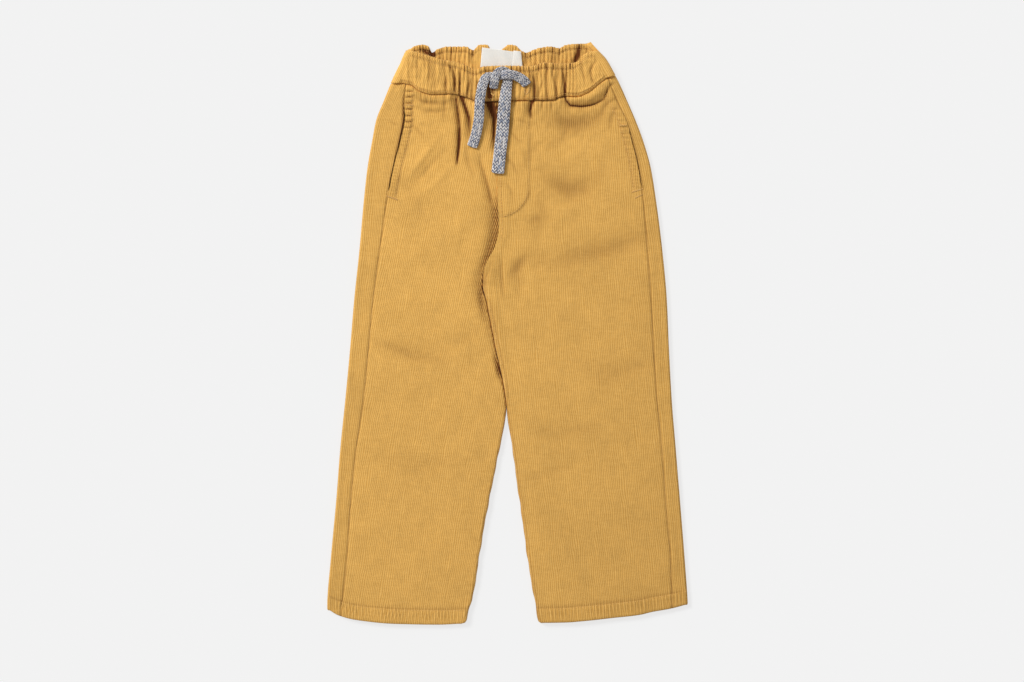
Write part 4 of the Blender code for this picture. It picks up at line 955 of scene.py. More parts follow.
def waistband(band, material):
    """Half of the casing: side turn, gathered part, side turn."""
    count = int((band.span[1] - band.span[0]) / BAND_COLUMN)
    parts = np.linspace(0.0, 1.0, count)
    t = np.linspace(0.0, 1.0, BAND_ROWS)
    shares = 0.55 * t + 0.45 * (1.0 - np.cos(math.pi * t)) / 2
    columns = count + 2 * BAND_TURN_STEPS
    grid = np.zeros((columns, BAND_ROWS, 3))
    radius = abs(band.height - band.base)
    angles = math.pi / 2 * np.arange(1, BAND_TURN_STEPS + 1) / BAND_TURN_STEPS
    reach = radius * np.sin(angles)
    fall = (band.height - band.base) * (1.0 - np.cos(angles))
    z = np.concatenate([band.height - fall[::-1], np.full(count, band.height), band.height - fall])
    for row, share in enumerate(shares):
        left = side_end(RIGHT.outer, band, share, -120.0) + BAND_WALL / 2 + radius
        right = side_end(LEFT.outer, band, share, 110.0) - BAND_WALL / 2 - radius
        x = np.concatenate([left - reach[::-1], left + parts * (right - left), right + reach])
        top = band.high(x) + CREST_WOBBLE * gather_wave(x, 1.0, band.phase) * gathered_zone(x)
        grid[:, row] = np.stack([x, band.low(x) + share * (top - band.low(x)), z], axis=1)
    normals = wall_normals(grid)
    if normals[columns // 2, 0, 2] < 0:
        normals = -normals
    for end in (0, -1):
        normals[end, :, 2] = 0.0
        normals[end] = unit(normals[end])
    flat = np.zeros(columns)
    flat[BAND_TURN_STEPS:-BAND_TURN_STEPS] = ease(np.minimum(parts, 1.0 - parts), 0.0, 0.03)
    flat = flat[:, None]
    x = grid[:, :, 0]
    y = grid[:, :, 1]
    relief = band_relief(band, x, y, shares[None, :])
    at_seam = 1.0 - (1.0 - rounded(y - y[:, :1], SEAM_EDGE)) * np.maximum(flat, 0.15)
    smooth_wall = BAND_WALL * rounded(y[:, -1:] - y, BAND_EDGE) * at_seam
    wall = np.maximum(smooth_wall + relief.height * flat, THINNEST)
    lower = grid - normals * (BAND_WALL / 2)
    upper = lower + normals * wall[..., None]
    if band is BACK_BAND:
        pleat = limited(gather_wave(x, shares[None, :], 4.0) + 0.25) * flat
        lower = lower + normals * np.minimum(UNDER_PLEAT * pleat, wall - THINNEST)[..., None]
    around = running_total(np.linalg.norm(np.diff(upper, axis=0), axis=2).mean(axis=1))
    grain = np.stack([np.repeat(around[:, None], BAND_ROWS, axis=1), y], axis=2)
    # painted shade of the hollows, none on the side turns
    return add_wall(band.name, upper, lower, material, grain, relief.dark * flat)


# ---------------------------------------------------------------- drawcord and labels
CORD_WALL = 3.6
CORD_STEP = 0.45
CORD_SIDES = 96
CORD_PLAITS = 16            # columns of knitted loops round the cord
LOOP_LENGTH = 1.8           # length of a knitted loop
LOOP_SLANT = 1.7            # how far its two legs lean, in loops
LOOP_HEIGHT = 0.30
TAIL_WIDTH = 13.5           # a tail's full width
TAIL_REST = 0.15            # clearance between a tail and the cloth under it
CORD_END = 1.6              # distance over which a blunt end rounds off

# Middle line of each end, with its width. The ends cross in a half knot.
Cord = namedtuple("Cord", "x y z width")
RIGHT_CORD = table(Cord,
    (-15.2, 268.6, 13.4, 9.4), (-14.8, 272.5, 16.0, 9.6), (-13.9, 276.8, 18.7, 9.6),
    (-13.0, 281.8, 19.5, 9.4), (-10.6, 285.8, 18.8, 9.2), (-6.4, 288.0, 17.0, 9.2),
    (-2.2, 287.4, 15.2, 9.2), (0.6, 284.2, 14.8, 9.4), (0.6, 279.2, 14.8, 9.9),
    (-0.8, 271.0, 14.8, 11.6), (-2.4, 258.0, 14.8, 13.0), (-3.4, 248.0, 13.4, 13.7),
    (-4.4, 236.0, 12.2, 13.9), (-5.6, 222.0, 11.8, 13.9), (-7.4, 206.0, 11.6, 13.9),
    (-9.2, 190.0, 11.4, 13.9), (-10.8, 175.6, 11.3, 14.2),
)
LEFT_CORD = table(Cord,
    (21.4, 272.0, 13.4, 10.6), (18.4, 276.8, 14.9, 10.8), (12.2, 281.0, 16.4, 10.5),
    (5.0, 283.4, 19.0, 9.9), (-0.6, 283.7, 19.6, 9.6), (-5.4, 283.2, 18.0, 9.4),
    (-9.6, 282.2, 15.2, 9.0), (-13.4, 281.8, 14.7, 8.8), (-18.8, 282.0, 14.7, 9.4),
    (-24.0, 279.8, 14.7, 10.4), (-27.2, 272.8, 14.8, 10.8), (-29.2, 263.0, 14.9, 11.0),
    (-30.6, 252.0, 14.2, 11.0), (-31.2, 238.0, 13.2, 11.2), (-33.0, 226.0, 12.4, 11.4),
    (-36.0, 214.0, 11.9, 11.6), (-39.2, 204.8, 11.6, 11.8),
)


def cord_line(rows):
    """Evenly spaced points of a smooth curve through the rows: x, y, z and width."""
    knots = np.array(rows, dtype=float)
    padded = np.concatenate([[2 * knots[0] - knots[1]], knots, [2 * knots[-1] - knots[-2]]])
    fine = []
    for i in range(1, len(padded) - 2):
        for t in np.linspace(0.0, 1.0, 12, endpoint=False):
            a, b, c, d = padded[i - 1:i + 3]
            fine.append(0.5 * (2 * b + (c - a) * t + (2 * a - 5 * b + 4 * c - d) * t * t
                               + (3 * b - a - 3 * c + d) * t ** 3))
    fine.append(knots[-1])
    fine = np.array(fine)
    length = running_total(np.linalg.norm(np.diff(fine[:, :3], axis=0), axis=1))
    count = max(int(round(length[-1] / CORD_STEP)), 2)
    places = np.linspace(0.0, length[-1], count + 1)
    return np.stack([np.interp(places, length, fine[:, axis]) for axis in range(4)], axis=1)


def cloth_under(x, y):
    """Highest point of the front under the width of a cord."""
    highest = np.zeros(x.shape)
    for shift in np.linspace(-5.0, 5.0, 5):
        for leg in (RIGHT, LEFT):
            highest = np.maximum(highest, front_height(leg, x + shift, y) + CLOTH / 2)
    return highest


def settled(line):
    """The cord's tail lies on the front, a little lower than its solid does."""
    x, y, z = line[:, :3].T
    rest = cloth_under(x, y) + CORD_WALL / 2 + TAIL_REST
    smooth = np.convolve(np.pad(rest, 12, mode="edge"), np.ones(25) / 25, mode="valid")
    rest = np.maximum(smooth, rest - 0.4)
    on_cloth = 1.0 - ease(y, 236.0, 252.0)
    line = line.copy()
    line[:, 2] = z + (np.minimum(rest, z) - z) * on_cloth
    return line


def cord_section():
    """Evenly spaced points round a flat cord's section, in half widths and half thicknesses."""
    turn = np.linspace(-math.pi / 2, 1.5 * math.pi, 721)
    across = np.sign(np.cos(turn)) * np.abs(np.cos(turn)) ** 0.8
    above = np.sign(np.sin(turn)) * np.abs(np.sin(turn)) ** 0.75
    length = running_total(np.hypot(np.diff(across) * TAIL_WIDTH / 2, np.diff(above) * CORD_WALL / 2))
    places = (np.arange(CORD_SIDES) + 0.5) / CORD_SIDES * length[-1]
    return np.interp(places, length, across), np.interp(places, length, above)


def drawcord(name, rows, material):
    """A flat knitted cord: two legs lean together in every loop, so the loops make chevrons."""
    line = settled(cord_line(rows))
    ahead = unit(np.gradient(line[:, :3], axis=0))
    length = running_total(np.linalg.norm(np.diff(line[:, :3], axis=0), axis=1))
    plait = CORD_PLAITS * (np.arange(CORD_SIDES) + 0.5) / CORD_SIDES
    within = plait - np.floor(plait)
    lean = np.where(np.floor(plait) % 2 == 0, within, 1.0 - within) * LOOP_SLANT
    across_share, above_share = cord_section()
    to_end = limited(np.minimum(length[-1] - length, length) / CORD_END)
    closing = 0.25 + 0.75 * np.sqrt(1.0 - (1.0 - to_end) ** 2)
    points = []
    grain = []
    for place, forward, along, close in zip(line, ahead, length, closing):
        up = unit(np.array([0.0, 0.0, 1.0]) - forward * forward[2])
        side = np.cross(forward, up)
        loop = np.abs(np.sin(math.pi * (along / LOOP_LENGTH + lean))) ** 0.7 * np.sin(math.pi * within) ** 0.6
        raised = LOOP_HEIGHT * (loop - 0.75)
        points.append(place[:3] + side * ((place[3] / 2 + raised) * across_share * close)[:, None]
                      + up * ((CORD_WALL / 2 + raised) * above_share * close)[:, None])
        grain.append(np.stack([plait, np.full(CORD_SIDES, along)], axis=1))
    order = np.arange(len(line) * CORD_SIDES).reshape(-1, CORD_SIDES)
    beside = np.roll(order, -1, axis=1)
    faces = np.stack([order[:-1], beside[:-1], beside[1:], order[1:]], axis=-1).reshape(-1, 4).tolist()
    faces.append(order[0][::-1].tolist())
    faces.append(order[-1].tolist())
    cord = add_object(name, np.concatenate(points), faces, material, np.concatenate(grain))
    return cord, line[:, :3] * MM, float(length[-1])


NECK_LABEL = ((-30.0, 293.0), (12.0, 292.0), (13.0, 309.5), (-28.0, 315.0))
SIZE_TAB = ((5.0, 293.4), (16.6, 293.0), (15.0, 310.2), (6.6, 311.4))


def label(name, corners, lift, material):
    """A woven patch with soft waves, rounded where its edges are folded under."""
    (x0, y0), (x1, y1), (x2, y2), (x3, y3) = corners
    u = np.linspace(0.0, 1.0, 60)[:, None]
    v = np.linspace(0.0, 1.0, 34)[None, :]
    x = (x0 * (1 - u) + x1 * u) * (1 - v) + (x3 * (1 - u) + x2 * u) * v
    y = (y0 * (1 - u) + y1 * u) * (1 - v) + (y3 * (1 - u) + y2 * u) * v
    z = lift + np.sin(math.pi * u) * (LABEL_BOW * v + LABEL_WAVE * (1.0 + np.sin(x / 3.1 + y / 9.0)))
    to_edge = np.minimum(np.minimum(u, 1 - u) * (x1 - x0), np.minimum(v, 1 - v) * (y3 - y0))
    lower = np.stack([x, y, z], axis=2)
    upper = lower + np.stack([0 * x, 0 * x, LABEL_WALL * rounded(to_edge, 0.9)], axis=2)
    return add_wall(name, upper, lower, material, np.stack([x, y], axis=2), np.zeros(x.shape))


# ---------------------------------------------------------------- nodes
class Nodes:
    """A node tree: adds a node from its type, its settings and the values of its inputs."""

    def __init__(self, tree):
        self.tree = tree

    def feed(self, socket, value):
        if isinstance(value, Socket):
            self.tree.links.new(value.link, socket)
        else:
            socket.default_value = value

    def node(self, kind, settings, inputs, output=0):
        node = self.tree.nodes.new(kind)
        for name, value in settings.items():
            if name == "stops":
                self.set_stops(node.color_ramp, value)
            else:
                setattr(node, name, value)
        for place, value in inputs.items():
            self.feed(node.inputs[place], value)
        return Socket(self, node.outputs[output])

    def set_stops(self, ramp, stops):
        ramp.interpolation = "CONSTANT"
        while len(ramp.elements) < len(stops):
            ramp.elements.new(0.5)
        for element, (place, colour) in zip(ramp.elements, stops):
            element.position = place
            element.color = colour


class Socket:
    """A value in a node tree that works in Python expressions."""

    def __init__(self, nodes, link):
        self.nodes = nodes
        self.link = link

    def math(self, operation, first, second=0.0):
        return self.nodes.node("ShaderNodeMath", {"operation": operation}, {0: first, 1: second})

    def split(self):
        """The x and y of a vector."""
        parts = self.nodes.node("ShaderNodeSeparateXYZ", {}, {0: self})
        return parts, Socket(self.nodes, parts.link.node.outputs[1])

    def wave(self):
        """0 to 1 and back for each whole step of the value."""
        return self.math("COSINE", self * (2.0 * math.pi)) * 0.5 + 0.5

    def clamp(self):
        return self.nodes.node("ShaderNodeClamp", {}, {"Value": self, "Min": 0.0, "Max": 1.0})


def operator(operation, reflected):
    if reflected:
        return lambda self, other: self.math(operation, other, self)
    return lambda self, other: self.math(operation, self, other)


for sign, operation in (("add", "ADD"), ("sub", "SUBTRACT"), ("mul", "MULTIPLY"), ("truediv", "DIVIDE"),
                        ("pow", "POWER")):
    setattr(Socket, "__" + sign + "__", operator(operation, False))
    setattr(Socket, "__r" + sign + "__", operator(operation, True))


class Finish(Nodes):
    """A material of one Principled shader."""

    def __init__(self, name, **constants):
        self.material = bpy.data.materials.new(name)
        self.material.use_nodes = True
        super().__init__(self.material.node_tree)
        self.shader = self.tree.nodes["Principled BSDF"]
        for place, value in constants.items():
            self.shader.inputs[place.replace("_", " ")].default_value = value

    def grain(self):
        return self.node("ShaderNodeUVMap", {"uv_map": "grain"}, {}).split()

    def place(self):
        return self.node("ShaderNodeTexCoord", {}, {}, output=3)

    def at(self, x, y):
        return self.node("ShaderNodeCombineXYZ", {}, {0: x, 1: y, 2: 0.0})

    def noise(self, place, scale, detail=2.0, roughness=0.5):
        inputs = {"Vector": place, "Scale": scale, "Detail": detail, "Roughness": roughness}
        return self.node("ShaderNodeTexNoise", {}, inputs)

    def blend(self, share, first, second, mode="MIX"):
        settings = {"data_type": "RGBA", "blend_type": mode}
        return self.node("ShaderNodeMix", settings, {0: share, 6: first, 7: second}, output=2)

    def bump(self, height, distance):
        """Raises the surface by the height, 0 to 1, times a distance in millimetres."""
        return self.node("ShaderNodeBump", {}, {"Height": height, "Distance": distance * MM, "Strength": 1.0})

    def finish(self, colour, roughness, normal):
        for name, value in (("Base Color", colour), ("Roughness", roughness), ("Normal", normal)):
            self.feed(self.shader.inputs[name], value)
        return self.material


# ---------------------------------------------------------------- finishes
# the grooves between the cords are darker than their tops: partly the cloth's own colour, partly painted
# shade
RIDGE_COLOUR = (0.80, 0.470, 0.132, 1.0)
GROOVE_COLOUR = (0.56, 0.283, 0.053, 1.0)
# colour of the painted shade in folds, creases and seams
PAINTED_SHADE_COLOUR = (0.118, 0.032, 0.005, 1.0)
SHEEN_COLOUR = (1.0, 0.86, 0.62, 1.0)
PAINTED_LIGHT_RISE = 0.28               # painted light: how much lighter the cloth is made for each metre towards the waist
CROTCH_START = -0.045       # x and y, in metres, where the stripes of the crotch's painted shade begin
CROTCH_TOP = 0.170
YARNS = (                   # share of the draw from which each yarn shows: white, grey and slate
    (0.0, (0.95, 0.90, 0.84, 1.0)), (0.30, (0.74, 0.69, 0.66, 1.0)), (0.46, (0.30, 0.345, 0.44, 1.0)),
    (0.56, (0.095, 0.105, 0.165, 1.0)), (0.80, (0.036, 0.037, 0.060, 1.0)),
)
FIBRE_COLOUR = (0.50, 0.50, 0.52, 1.0)
# painted shade in the gaps between the knitted loops
LOOP_GAP_SHADE_COLOUR = (0.04, 0.045, 0.07, 1.0)
LABEL_COLOUR = (0.84, 0.82, 0.77, 1.0)
LABEL_SHADE = (0.66, 0.63, 0.57, 1.0)
THREAD_COLOUR = (0.80, 0.50, 0.17, 1.0)
THREAD_SHADE = (0.62, 0.35, 0.10, 1.0)
FLOOR_COLOUR = (0.15, 0.15, 0.15, 1.0)
FLOOR_SHADE = (0.14925, 0.14925, 0.14925, 1.0)
FLOOR_GLOW = 0.733


def corduroy(name, painted_light_level, sideways=0.0, twist=0.0):
    """Golden corduroy: fine cords with a napped top, grooves between them, faded unevenly by washing, with
    painted light and painted shade.
    """
    finish = Finish(name, Sheen_Weight=0.18, Sheen_Roughness=0.45, Sheen_Tint=SHEEN_COLOUR,
                    Specular_IOR_Level=0.18)
    across, along = finish.grain()
    wander = finish.noise(finish.at(across * 0.07, along * 0.022), 1.0, 2.0, 0.55)
    pile = finish.noise(finish.at(across * 1.0, along * 0.8), 1.0, 3.0, 0.7)
    slub = finish.noise(finish.at(across * 0.07, along * 0.55), 1.0, 2.0)
    streak = finish.noise(finish.at(across * 0.45, along * 0.035), 1.0, 2.0)
    worn = finish.noise(finish.at(across * 0.32, along * 0.07), 1.0, 2.0, 0.6)
    cord = (across / WALE + wander * 2.6).wave() ** 0.75
    cord = 0.5 + (cord - 0.5) * (0.35 + 1.15 * worn)
    ridge = (cord * 0.80 + pile * 1.06 + slub * 0.44 - 0.68).clamp()
    colour = finish.blend(ridge, GROOVE_COLOUR, RIDGE_COLOUR)
    place = finish.place()
    faded = finish.noise(place, 16.0, 3.0, 0.55)
    mottle = finish.noise(place, 70.0, 3.0, 0.6)
    matted = finish.noise(place, 190.0, 3.0, 0.7)
    side_place, height_place = place.split()
    # painted light: the piece's own level, lighter towards the waist and darker towards +X by the sideways
    # amount
    painted_light = painted_light_level + height_place * PAINTED_LIGHT_RISE - side_place * sideways
    # random fading and mottling, times the painted light
    shade = (0.60 + 0.20 * faded + 0.20 * mottle + 0.16 * streak + 0.26 * matted) * painted_light
    shade = finish.node("ShaderNodeCombineColor", {}, {0: shade, 1: shade, 2: shade})
    colour = finish.blend(1.0, colour, shade, "MULTIPLY")
    # painted shade in folds, creases and seams, deeper in the grooves between the cords; beside the crotch
    # its stripes slant by the twist
    hollow = finish.node("ShaderNodeAttribute", {"attribute_name": "hollow"}, {}, output=2)
    beside = ((side_place - CROTCH_START) * 100.0).clamp()
    by_crotch = beside * ((CROTCH_TOP - height_place) * 50.0).clamp() * twist
    groove = 1.0 - ((across + along * by_crotch) / WALE + wander * 1.2).wave()
    depth = 0.30 + 0.70 * by_crotch
    lined = hollow * (1.0 - depth + 2.0 * depth * groove) + (hollow - 0.78).clamp() * 1.5
    colour = finish.blend(lined.clamp(), colour, PAINTED_SHADE_COLOUR)
    return finish.finish(colour, 0.86 + 0.1 * pile, finish.bump(cord * 0.7 + 0.7 * pile, 0.28))


def braid(name):
    """Knitted cord of white, grey and slate yarns, a random mixture from loop to loop."""
    finish = Finish(name, Sheen_Weight=0.15, Specular_IOR_Level=0.25)
    plait, along = finish.grain()
    column = plait.math("FLOOR", plait)
    within = plait - column
    leaning = column.math("MODULO", column, 2.0)
    lean = within + leaning * (1.0 - 2.0 * within)
    loop_place = along / LOOP_LENGTH + lean * LOOP_SLANT
    loop = loop_place.math("FLOOR", loop_place)
    seed = finish.at(column, loop)
    drawn = finish.node("ShaderNodeTexWhiteNoise", {"noise_dimensions": "2D"}, {"Vector": seed})
    turned = loop.math("MODULO", loop, 2.0)
    yarn = finish.node("ShaderNodeValToRGB", {"stops": YARNS}, {0: drawn * 0.55 + turned * 0.42})
    fibre = finish.noise(finish.at(plait * 9.0, along * 2.2), 1.0, 2.0)
    yarn = finish.blend((fibre * 0.8 - 0.25).clamp(), yarn, FIBRE_COLOUR)
    # painted shade in the gaps round each loop, where the bump also sinks
    edge = ((loop_place - loop - 0.5) * 2.0) ** 4.0
    border = (edge * 0.65 + ((within - 0.5) * 2.0) ** 6.0 * 0.55).clamp()
    colour = finish.blend(border, yarn, LOOP_GAP_SHADE_COLOUR)
    return finish.finish(colour, 0.72 + 0.2 * fibre, finish.bump((1.0 - border) + 0.3 * fibre, 0.25))


def label_cloth(name):
    """Off-white woven satin, bare."""
    finish = Finish(name, Sheen_Weight=0.1, Specular_IOR_Level=0.35)
    across, along = finish.grain()
    threads = (across / 0.55).wave() * 0.5 + (along / 0.4).wave() * 0.5
    soil = finish.noise(finish.at(across * 0.12, along * 0.12), 1.0, 3.0)
    colour = finish.blend((0.25 * threads + 0.35 * soil).clamp(), LABEL_COLOUR, LABEL_SHADE)
    return finish.finish(colour, 0.5 + 0.2 * soil, finish.bump(threads, 0.06))


def sewing_thread(name):
    """Spun thread a shade lighter than the cloth."""
    finish = Finish(name, Specular_IOR_Level=0.3)
    uneven = finish.noise(finish.place(), 900.0, 2.0)
    colour = finish.blend(uneven, THREAD_COLOUR, THREAD_SHADE)
    return finish.finish(colour, 0.6 + 0.2 * uneven, finish.bump(uneven, 0.08))


def pale_floor(name):
    finish = Finish(name, Specular_IOR_Level=0.0, Emission_Color=(1.0, 1.0, 1.0, 1.0),
                    Emission_Strength=FLOOR_GLOW)
    paper = finish.noise(finish.place(), 6.0, 2.0)
    return finish.finish(finish.blend(paper, FLOOR_COLOUR, FLOOR_SHADE), 0.95, finish.bump(paper, 0.01))


# ---------------------------------------------------------------- stitching
Row = namedtuple("Row", "points way")      # points in millimetres, and the way that each stitch lies
Stitch = namedtuple("Stitch", "pitch length radius")
PANEL_STITCH = Stitch(3.1, 2.7, 0.26)
BAND_STITCH = Stitch(2.9, 2.5, 0.26)
BARTACK_STITCH = Stitch(0.5, 2.0, 0.24)
BUTTONHOLE_STITCH = Stitch(0.55, 2.2, 0.24)


def stitch_tree():
    """Places one thread, shaped as a long bead, at an even pitch along every row."""
    tree = bpy.data.node_groups.new("stitches", "GeometryNodeTree")
    for name, kind in (("Geometry", "Geometry"), ("Pitch", "Float"), ("Length", "Float"), ("Radius", "Float"),
                       ("Thread", "Material")):
        tree.interface.new_socket(name, in_out="INPUT", socket_type="NodeSocket" + kind)
    tree.interface.new_socket("Geometry", in_out="OUTPUT", socket_type="NodeSocketGeometry")
    nodes = Nodes(tree)
    given = tree.nodes.new("NodeGroupInput")
    rows, pitch, length, radius, thread = (Socket(nodes, socket) for socket in list(given.outputs)[:5])
    path = nodes.node("GeometryNodeMeshToCurve", {}, {0: rows})
    spaced = nodes.node("GeometryNodeResampleCurve", {"mode": "LENGTH"}, {"Curve": path, "Length": pitch})
    bead = nodes.node("GeometryNodeMeshUVSphere", {}, {"Segments": 6, "Rings": 5, "Radius": 1.0})
    size = nodes.node("ShaderNodeCombineXYZ", {}, {0: radius, 1: radius, 2: length * 0.5})
    stitch = nodes.node("GeometryNodeTransform", {}, {"Geometry": bead, "Scale": size})
    way = nodes.node("GeometryNodeInputNamedAttribute", {"data_type": "FLOAT_VECTOR"}, {"Name": "way"})
    turn = nodes.node("FunctionNodeAlignRotationToVector", {"axis": "Z"}, {"Vector": way})
    laid = {"Points": spaced, "Instance": stitch, "Rotation": turn}
    placed = nodes.node("GeometryNodeInstanceOnPoints", {}, laid)
    solid = nodes.node("GeometryNodeRealizeInstances", {}, {0: placed})
    finished = nodes.node("GeometryNodeSetMaterial", {}, {"Geometry": solid, "Material": thread})
    nodes.feed(tree.nodes.new("NodeGroupOutput").inputs[0], finished)
    return tree


def sewn(name, rows, tree, thread, stitch):
    """A plain mesh of the stitches along some rows."""
    points = np.concatenate([row.points for row in rows]) * MM
    ways = np.concatenate([row.way for row in rows])
    edges = []
    start = 0
    for row in rows:
        edges += [(i, i + 1) for i in range(start, start + len(row.points) - 1)]
        start += len(row.points)
    guide_mesh = bpy.data.meshes.new(name + "_rows")
    guide_mesh.from_pydata(points.tolist(), edges, [])
    way = guide_mesh.attributes.new("way", "FLOAT_VECTOR", "POINT")
    way.data.foreach_set("vector", ways.astype(np.float32).ravel())
    guide = link(name + "_rows", guide_mesh)
    modifier = guide.modifiers.new("stitches", "NODES")
    modifier.node_group = tree
    values = {"Pitch": stitch.pitch * MM, "Length": stitch.length * MM, "Radius": stitch.radius * MM,
              "Thread": thread}
    for item in tree.interface.items_tree:
        if item.in_out == "INPUT" and item.name in values:
            modifier[item.identifier] = values[item.name]
    depsgraph = bpy.context.evaluated_depsgraph_get()
    mesh = bpy.data.meshes.new_from_object(guide.evaluated_get(depsgraph))
    mesh.name = name
    mesh.shade_smooth()
    bpy.data.objects.remove(guide)
    return link(name, mesh)


def along_row(points):
    """A row whose stitches lie along it."""
    return Row(points, unit(np.gradient(points, axis=0)))


def on_front(leg, x, y):
    """Points on the top face of a leg."""
    raised = HEM_RAISE * turned_hem(y - leg.hem(x))
    return np.stack([x, y, front_height(leg, x, y) + CLOTH / 2 + raised], axis=1)


def pocket_rows(leg):
    y = np.arange(leg.mouth.low - 3.0, float(front_seam(leg.outseam(leg.mouth.high))) - 9.0, 1.2)
    return [along_row(on_front(leg, leg.outseam(y) - leg.sign * (POCKET_STITCH + offset), y))
            for offset in (-ROW_APART / 2, ROW_APART / 2)]


def hem_rows(leg):
    """The hem's row on the front, from just past the inseam's turn to the outseam, and on the side strip."""
    rows = []
    for start, end in ((leg.hem_x["inner"] + leg.sign * 5.0, leg.hem_x["outseam"] - leg.sign * 1.4),
                       (leg.hem_x["outseam"] + leg.sign * 1.6, leg.hem_x["outer"] - leg.sign * 3.5)):
        x = np.linspace(start, end, max(int(abs(end - start) / 1.5), 3))
        rows.append(along_row(on_front(leg, x, leg.hem(x) + HEM_ROW)))
    return rows


def bartack(leg, y, inner, outer, tilt):
    """A short bar of dense zigzag stitches across the end of a pocket mouth."""
    inside = np.linspace(inner, outer, 16)
    points = on_front(leg, leg.outseam(y) - leg.sign * inside, y - tilt * inside)
    points[:, 2] += 0.25
    return Row(points, unit(np.tile([0.25, 1.0, 0.0], (len(inside), 1))))


def middle_row():
    y = np.arange(-64.0, float(front_seam(0.0)) - 4.0, 1.2)
    return along_row(on_front(LEFT, LEFT.inner(y) + MIDDLE_STITCH, y))


def fly_row():
    straight = np.arange(FLY_TURN_Y, float(front_seam(FLY_X)) - 4.0, 1.2)[::-1]
    swing = np.linspace(0.0, 1.42, 40)
    y = np.concatenate([straight, FLY_TURN_Y - (FLY_TURN_Y - FLY_END_Y) * np.sin(swing)])
    return along_row(on_front(LEFT, fly_edge(y) - FLY_STITCH, y))


def casing_row(band, x, y):
    return along_row(np.stack([x, y, band_top(band, x, y)], axis=1))


def buttonhole(x, y, tilt):
    """Radial stitches round the slit that the drawcord comes out of."""
    turn = np.linspace(0.0, 2.0 * math.pi, 48)
    local_x = 2.6 * np.cos(turn)
    local_y = 7.2 * np.sin(turn)
    px = x + local_x * math.cos(tilt) - local_y * math.sin(tilt)
    py = y + local_x * math.sin(tilt) + local_y * math.cos(tilt)
    points = np.stack([px, py, band_top(FRONT_BAND, px, py) + 0.15], axis=1)
    return Row(points, unit(np.stack([px - x, (py - y) * 0.3, 0.0 * px], axis=1)))


# ---------------------------------------------------------------- camera, light and floor
VIEW_CENTRE = (4.95, -8.25)         # the garment's place at the middle of the photograph
VIEW_WIDTH = 1126.4                 # what the photograph's width takes in
CAMERA_HEIGHT = 2500.0
CLOTH_PLANE = 7.0
SENSOR = 36.0
FLOOR_SIZE = 6000.0
FLOOR_LEVEL = -0.3
SKY_STRENGTH = 0.50
LAMP_STRENGTH = 2.75
LAMP_FROM = (-0.62, 0.48, 0.62)     # the lamp is up and to the left
LAMP_SOFTNESS = 18.0                # degrees


def camera():
    lens = bpy.data.cameras.new("camera")
    lens.sensor_width = SENSOR
    lens.lens = SENSOR * (CAMERA_HEIGHT - CLOTH_PLANE) / VIEW_WIDTH
    lens.clip_end = 100.0
    obj = link("camera", lens)
    obj.location = (VIEW_CENTRE[0] * MM, VIEW_CENTRE[1] * MM, CAMERA_HEIGHT * MM)
    bpy.context.scene.camera = obj


def light():
    lamp = bpy.data.lights.new("lamp", "SUN")
    lamp.energy = LAMP_STRENGTH
    lamp.angle = math.radians(LAMP_SOFTNESS)
    obj = link("lamp", lamp)
    obj.rotation_mode = "QUATERNION"
    obj.rotation_quaternion = (-Vector(LAMP_FROM)).to_track_quat("-Z", "Y")
    world = bpy.data.worlds.new("sky")
    world.use_nodes = True
    sky = world.node_tree.nodes["Background"]
    sky.inputs["Color"].default_value = (1.0, 1.0, 1.0, 1.0)
    sky.inputs["Strength"].default_value = SKY_STRENGTH
    bpy.context.scene.world = world
    bpy.context.scene.view_settings.view_transform = "Standard"


def floor():
    half = FLOOR_SIZE / 2 * MM
    level = FLOOR_LEVEL * MM
    mesh = bpy.data.meshes.new("floor")
    corners = [(-half, -half, level), (half, -half, level), (half, half, level), (-half, half, level)]
    mesh.from_pydata(corners, [], [(0, 1, 2, 3)])
    mesh.materials.append(pale_floor("pale_floor"))
    link("floor", mesh)


# ---------------------------------------------------------------- the garment, dressed
# Flat sizes of the cuts, in metres: width, length and area.
Cut = namedtuple("Cut", "width length area")


def dress(slot, *pieces):
    """Puts pieces on the one body. Each comes with the node that it replaces, or None."""
    for piece, node in pieces:
        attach(piece, "root")
        if node:
            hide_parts(node)


def cords():
    yarn = braid("braid_mixture")
    cord_right, path_right, length_right = drawcord("cord_right", RIGHT_CORD, yarn)
    cord_left, path_left, length_left = drawcord("cord_left", LEFT_CORD, yarn)
    dress("braid", (cord_right, "drawcord_right"), (cord_left, "drawcord_left"))


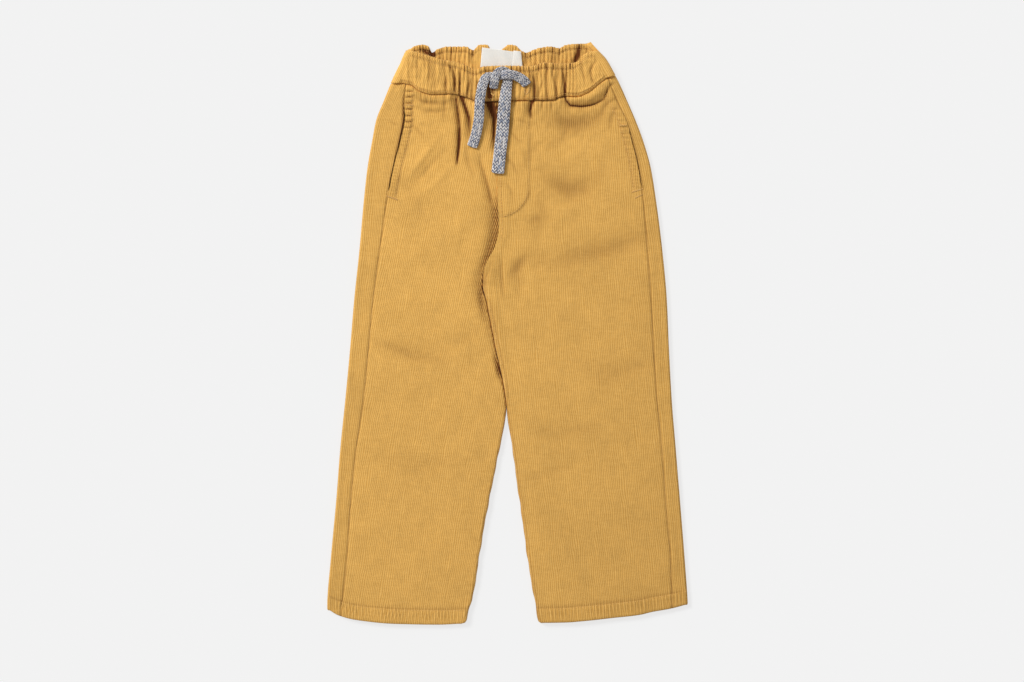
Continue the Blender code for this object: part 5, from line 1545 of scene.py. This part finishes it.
def garment():
    # copies of the corduroy, each with its own painted light level; the left front and the casing are also
    # painted darker towards +X
    right_cloth = corduroy("corduroy_right_front", 0.995, twist=0.5)
    left_cloth = corduroy("corduroy_left_front", 0.952, 0.40)
    right_back_cloth = corduroy("corduroy_right_back", 0.93)
    left_back_cloth = corduroy("corduroy_left_back", 0.89)
    casing_cloth = corduroy("corduroy_casing", 1.035, 0.45)
    front_right = front_panel("cloth_front_right", RIGHT, RIGHT_SLANT, right_cloth)
    front_left = front_panel("cloth_front_left", LEFT, LEFT_SLANT, left_cloth)
    back_right = back_panel("cloth_back_right", RIGHT, right_back_cloth)
    back_left = back_panel("cloth_back_left", LEFT, left_back_cloth)
    casing_front = waistband(FRONT_BAND, casing_cloth)
    casing_back = waistband(BACK_BAND, casing_cloth)

    woven = label_cloth("woven_label")
    back_face = BAND_WALL + SEAM_GAP
    neck_label = label("patch_neck_label", NECK_LABEL, back_face, woven)
    size_tab = label("patch_size_tab", SIZE_TAB, back_face + LABEL_BOW + LABEL_WALL + SEAM_GAP, woven)

    thread = sewing_thread("golden_thread")
    tree = stitch_tree()
    seams_right = sewn("stitches_front_right", pocket_rows(RIGHT) + hem_rows(RIGHT),
                       tree, thread, PANEL_STITCH)
    seams_left = sewn("stitches_front_left", pocket_rows(LEFT) + hem_rows(LEFT) + [middle_row(), fly_row()],
                      tree, thread, PANEL_STITCH)
    x = np.arange(-112.0, 100.0, 1.0)
    seams_casing = sewn("stitches_casing_front", [
        casing_row(FRONT_BAND, x, FRONT_BAND.low(x) + CASING_STITCH),
        casing_row(FRONT_BAND, x, FRONT_BAND.high(x) - HEADER),
    ], tree, thread, BAND_STITCH)
    x = np.arange(-108.0, 94.0, 1.0)
    seams_inside = sewn("stitches_casing_back", [casing_row(BACK_BAND, x, BACK_BAND.high(x) - HEADER)],
                        tree, thread, BAND_STITCH)
    bars = sewn("bartacks", [
        bartack(RIGHT, RIGHT.mouth.low - 1.0, -1.0, 11.0, 0.35),
        bartack(RIGHT, RIGHT.mouth.high + 5.0, 2.0, 10.0, 0.0),
        bartack(LEFT, LEFT.mouth.low - 1.0, -1.0, 11.0, 0.3),
        bartack(LEFT, LEFT.mouth.low - 7.0, 0.5, 8.0, 0.45),
        bartack(LEFT, LEFT.mouth.high + 3.0, 2.0, 9.0, 0.0),
    ], tree, thread, BARTACK_STITCH)
    holes = sewn("buttonholes", [buttonhole(-15.6, 268.5, 0.05), buttonhole(21.6, 270.0, -0.2)],
                 tree, thread, BUTTONHOLE_STITCH)

    dress("corduroy", (front_right, "front_right"), (front_left, "front_left"), (back_right, "back_right"),
          (back_left, "back_left"))
    dress("corduroy_casing", (casing_front, "waistband_front"), (casing_back, "waistband_back"))
    dress("label", (neck_label, "neck_label"), (size_tab, "size_tab"))
    dress("corduroy", (seams_right, None), (seams_left, None), (bars, None))
    dress("corduroy_casing", (seams_casing, None), (seams_inside, None), (holes, None))


camera()
light()
floor()
cords()
garment()
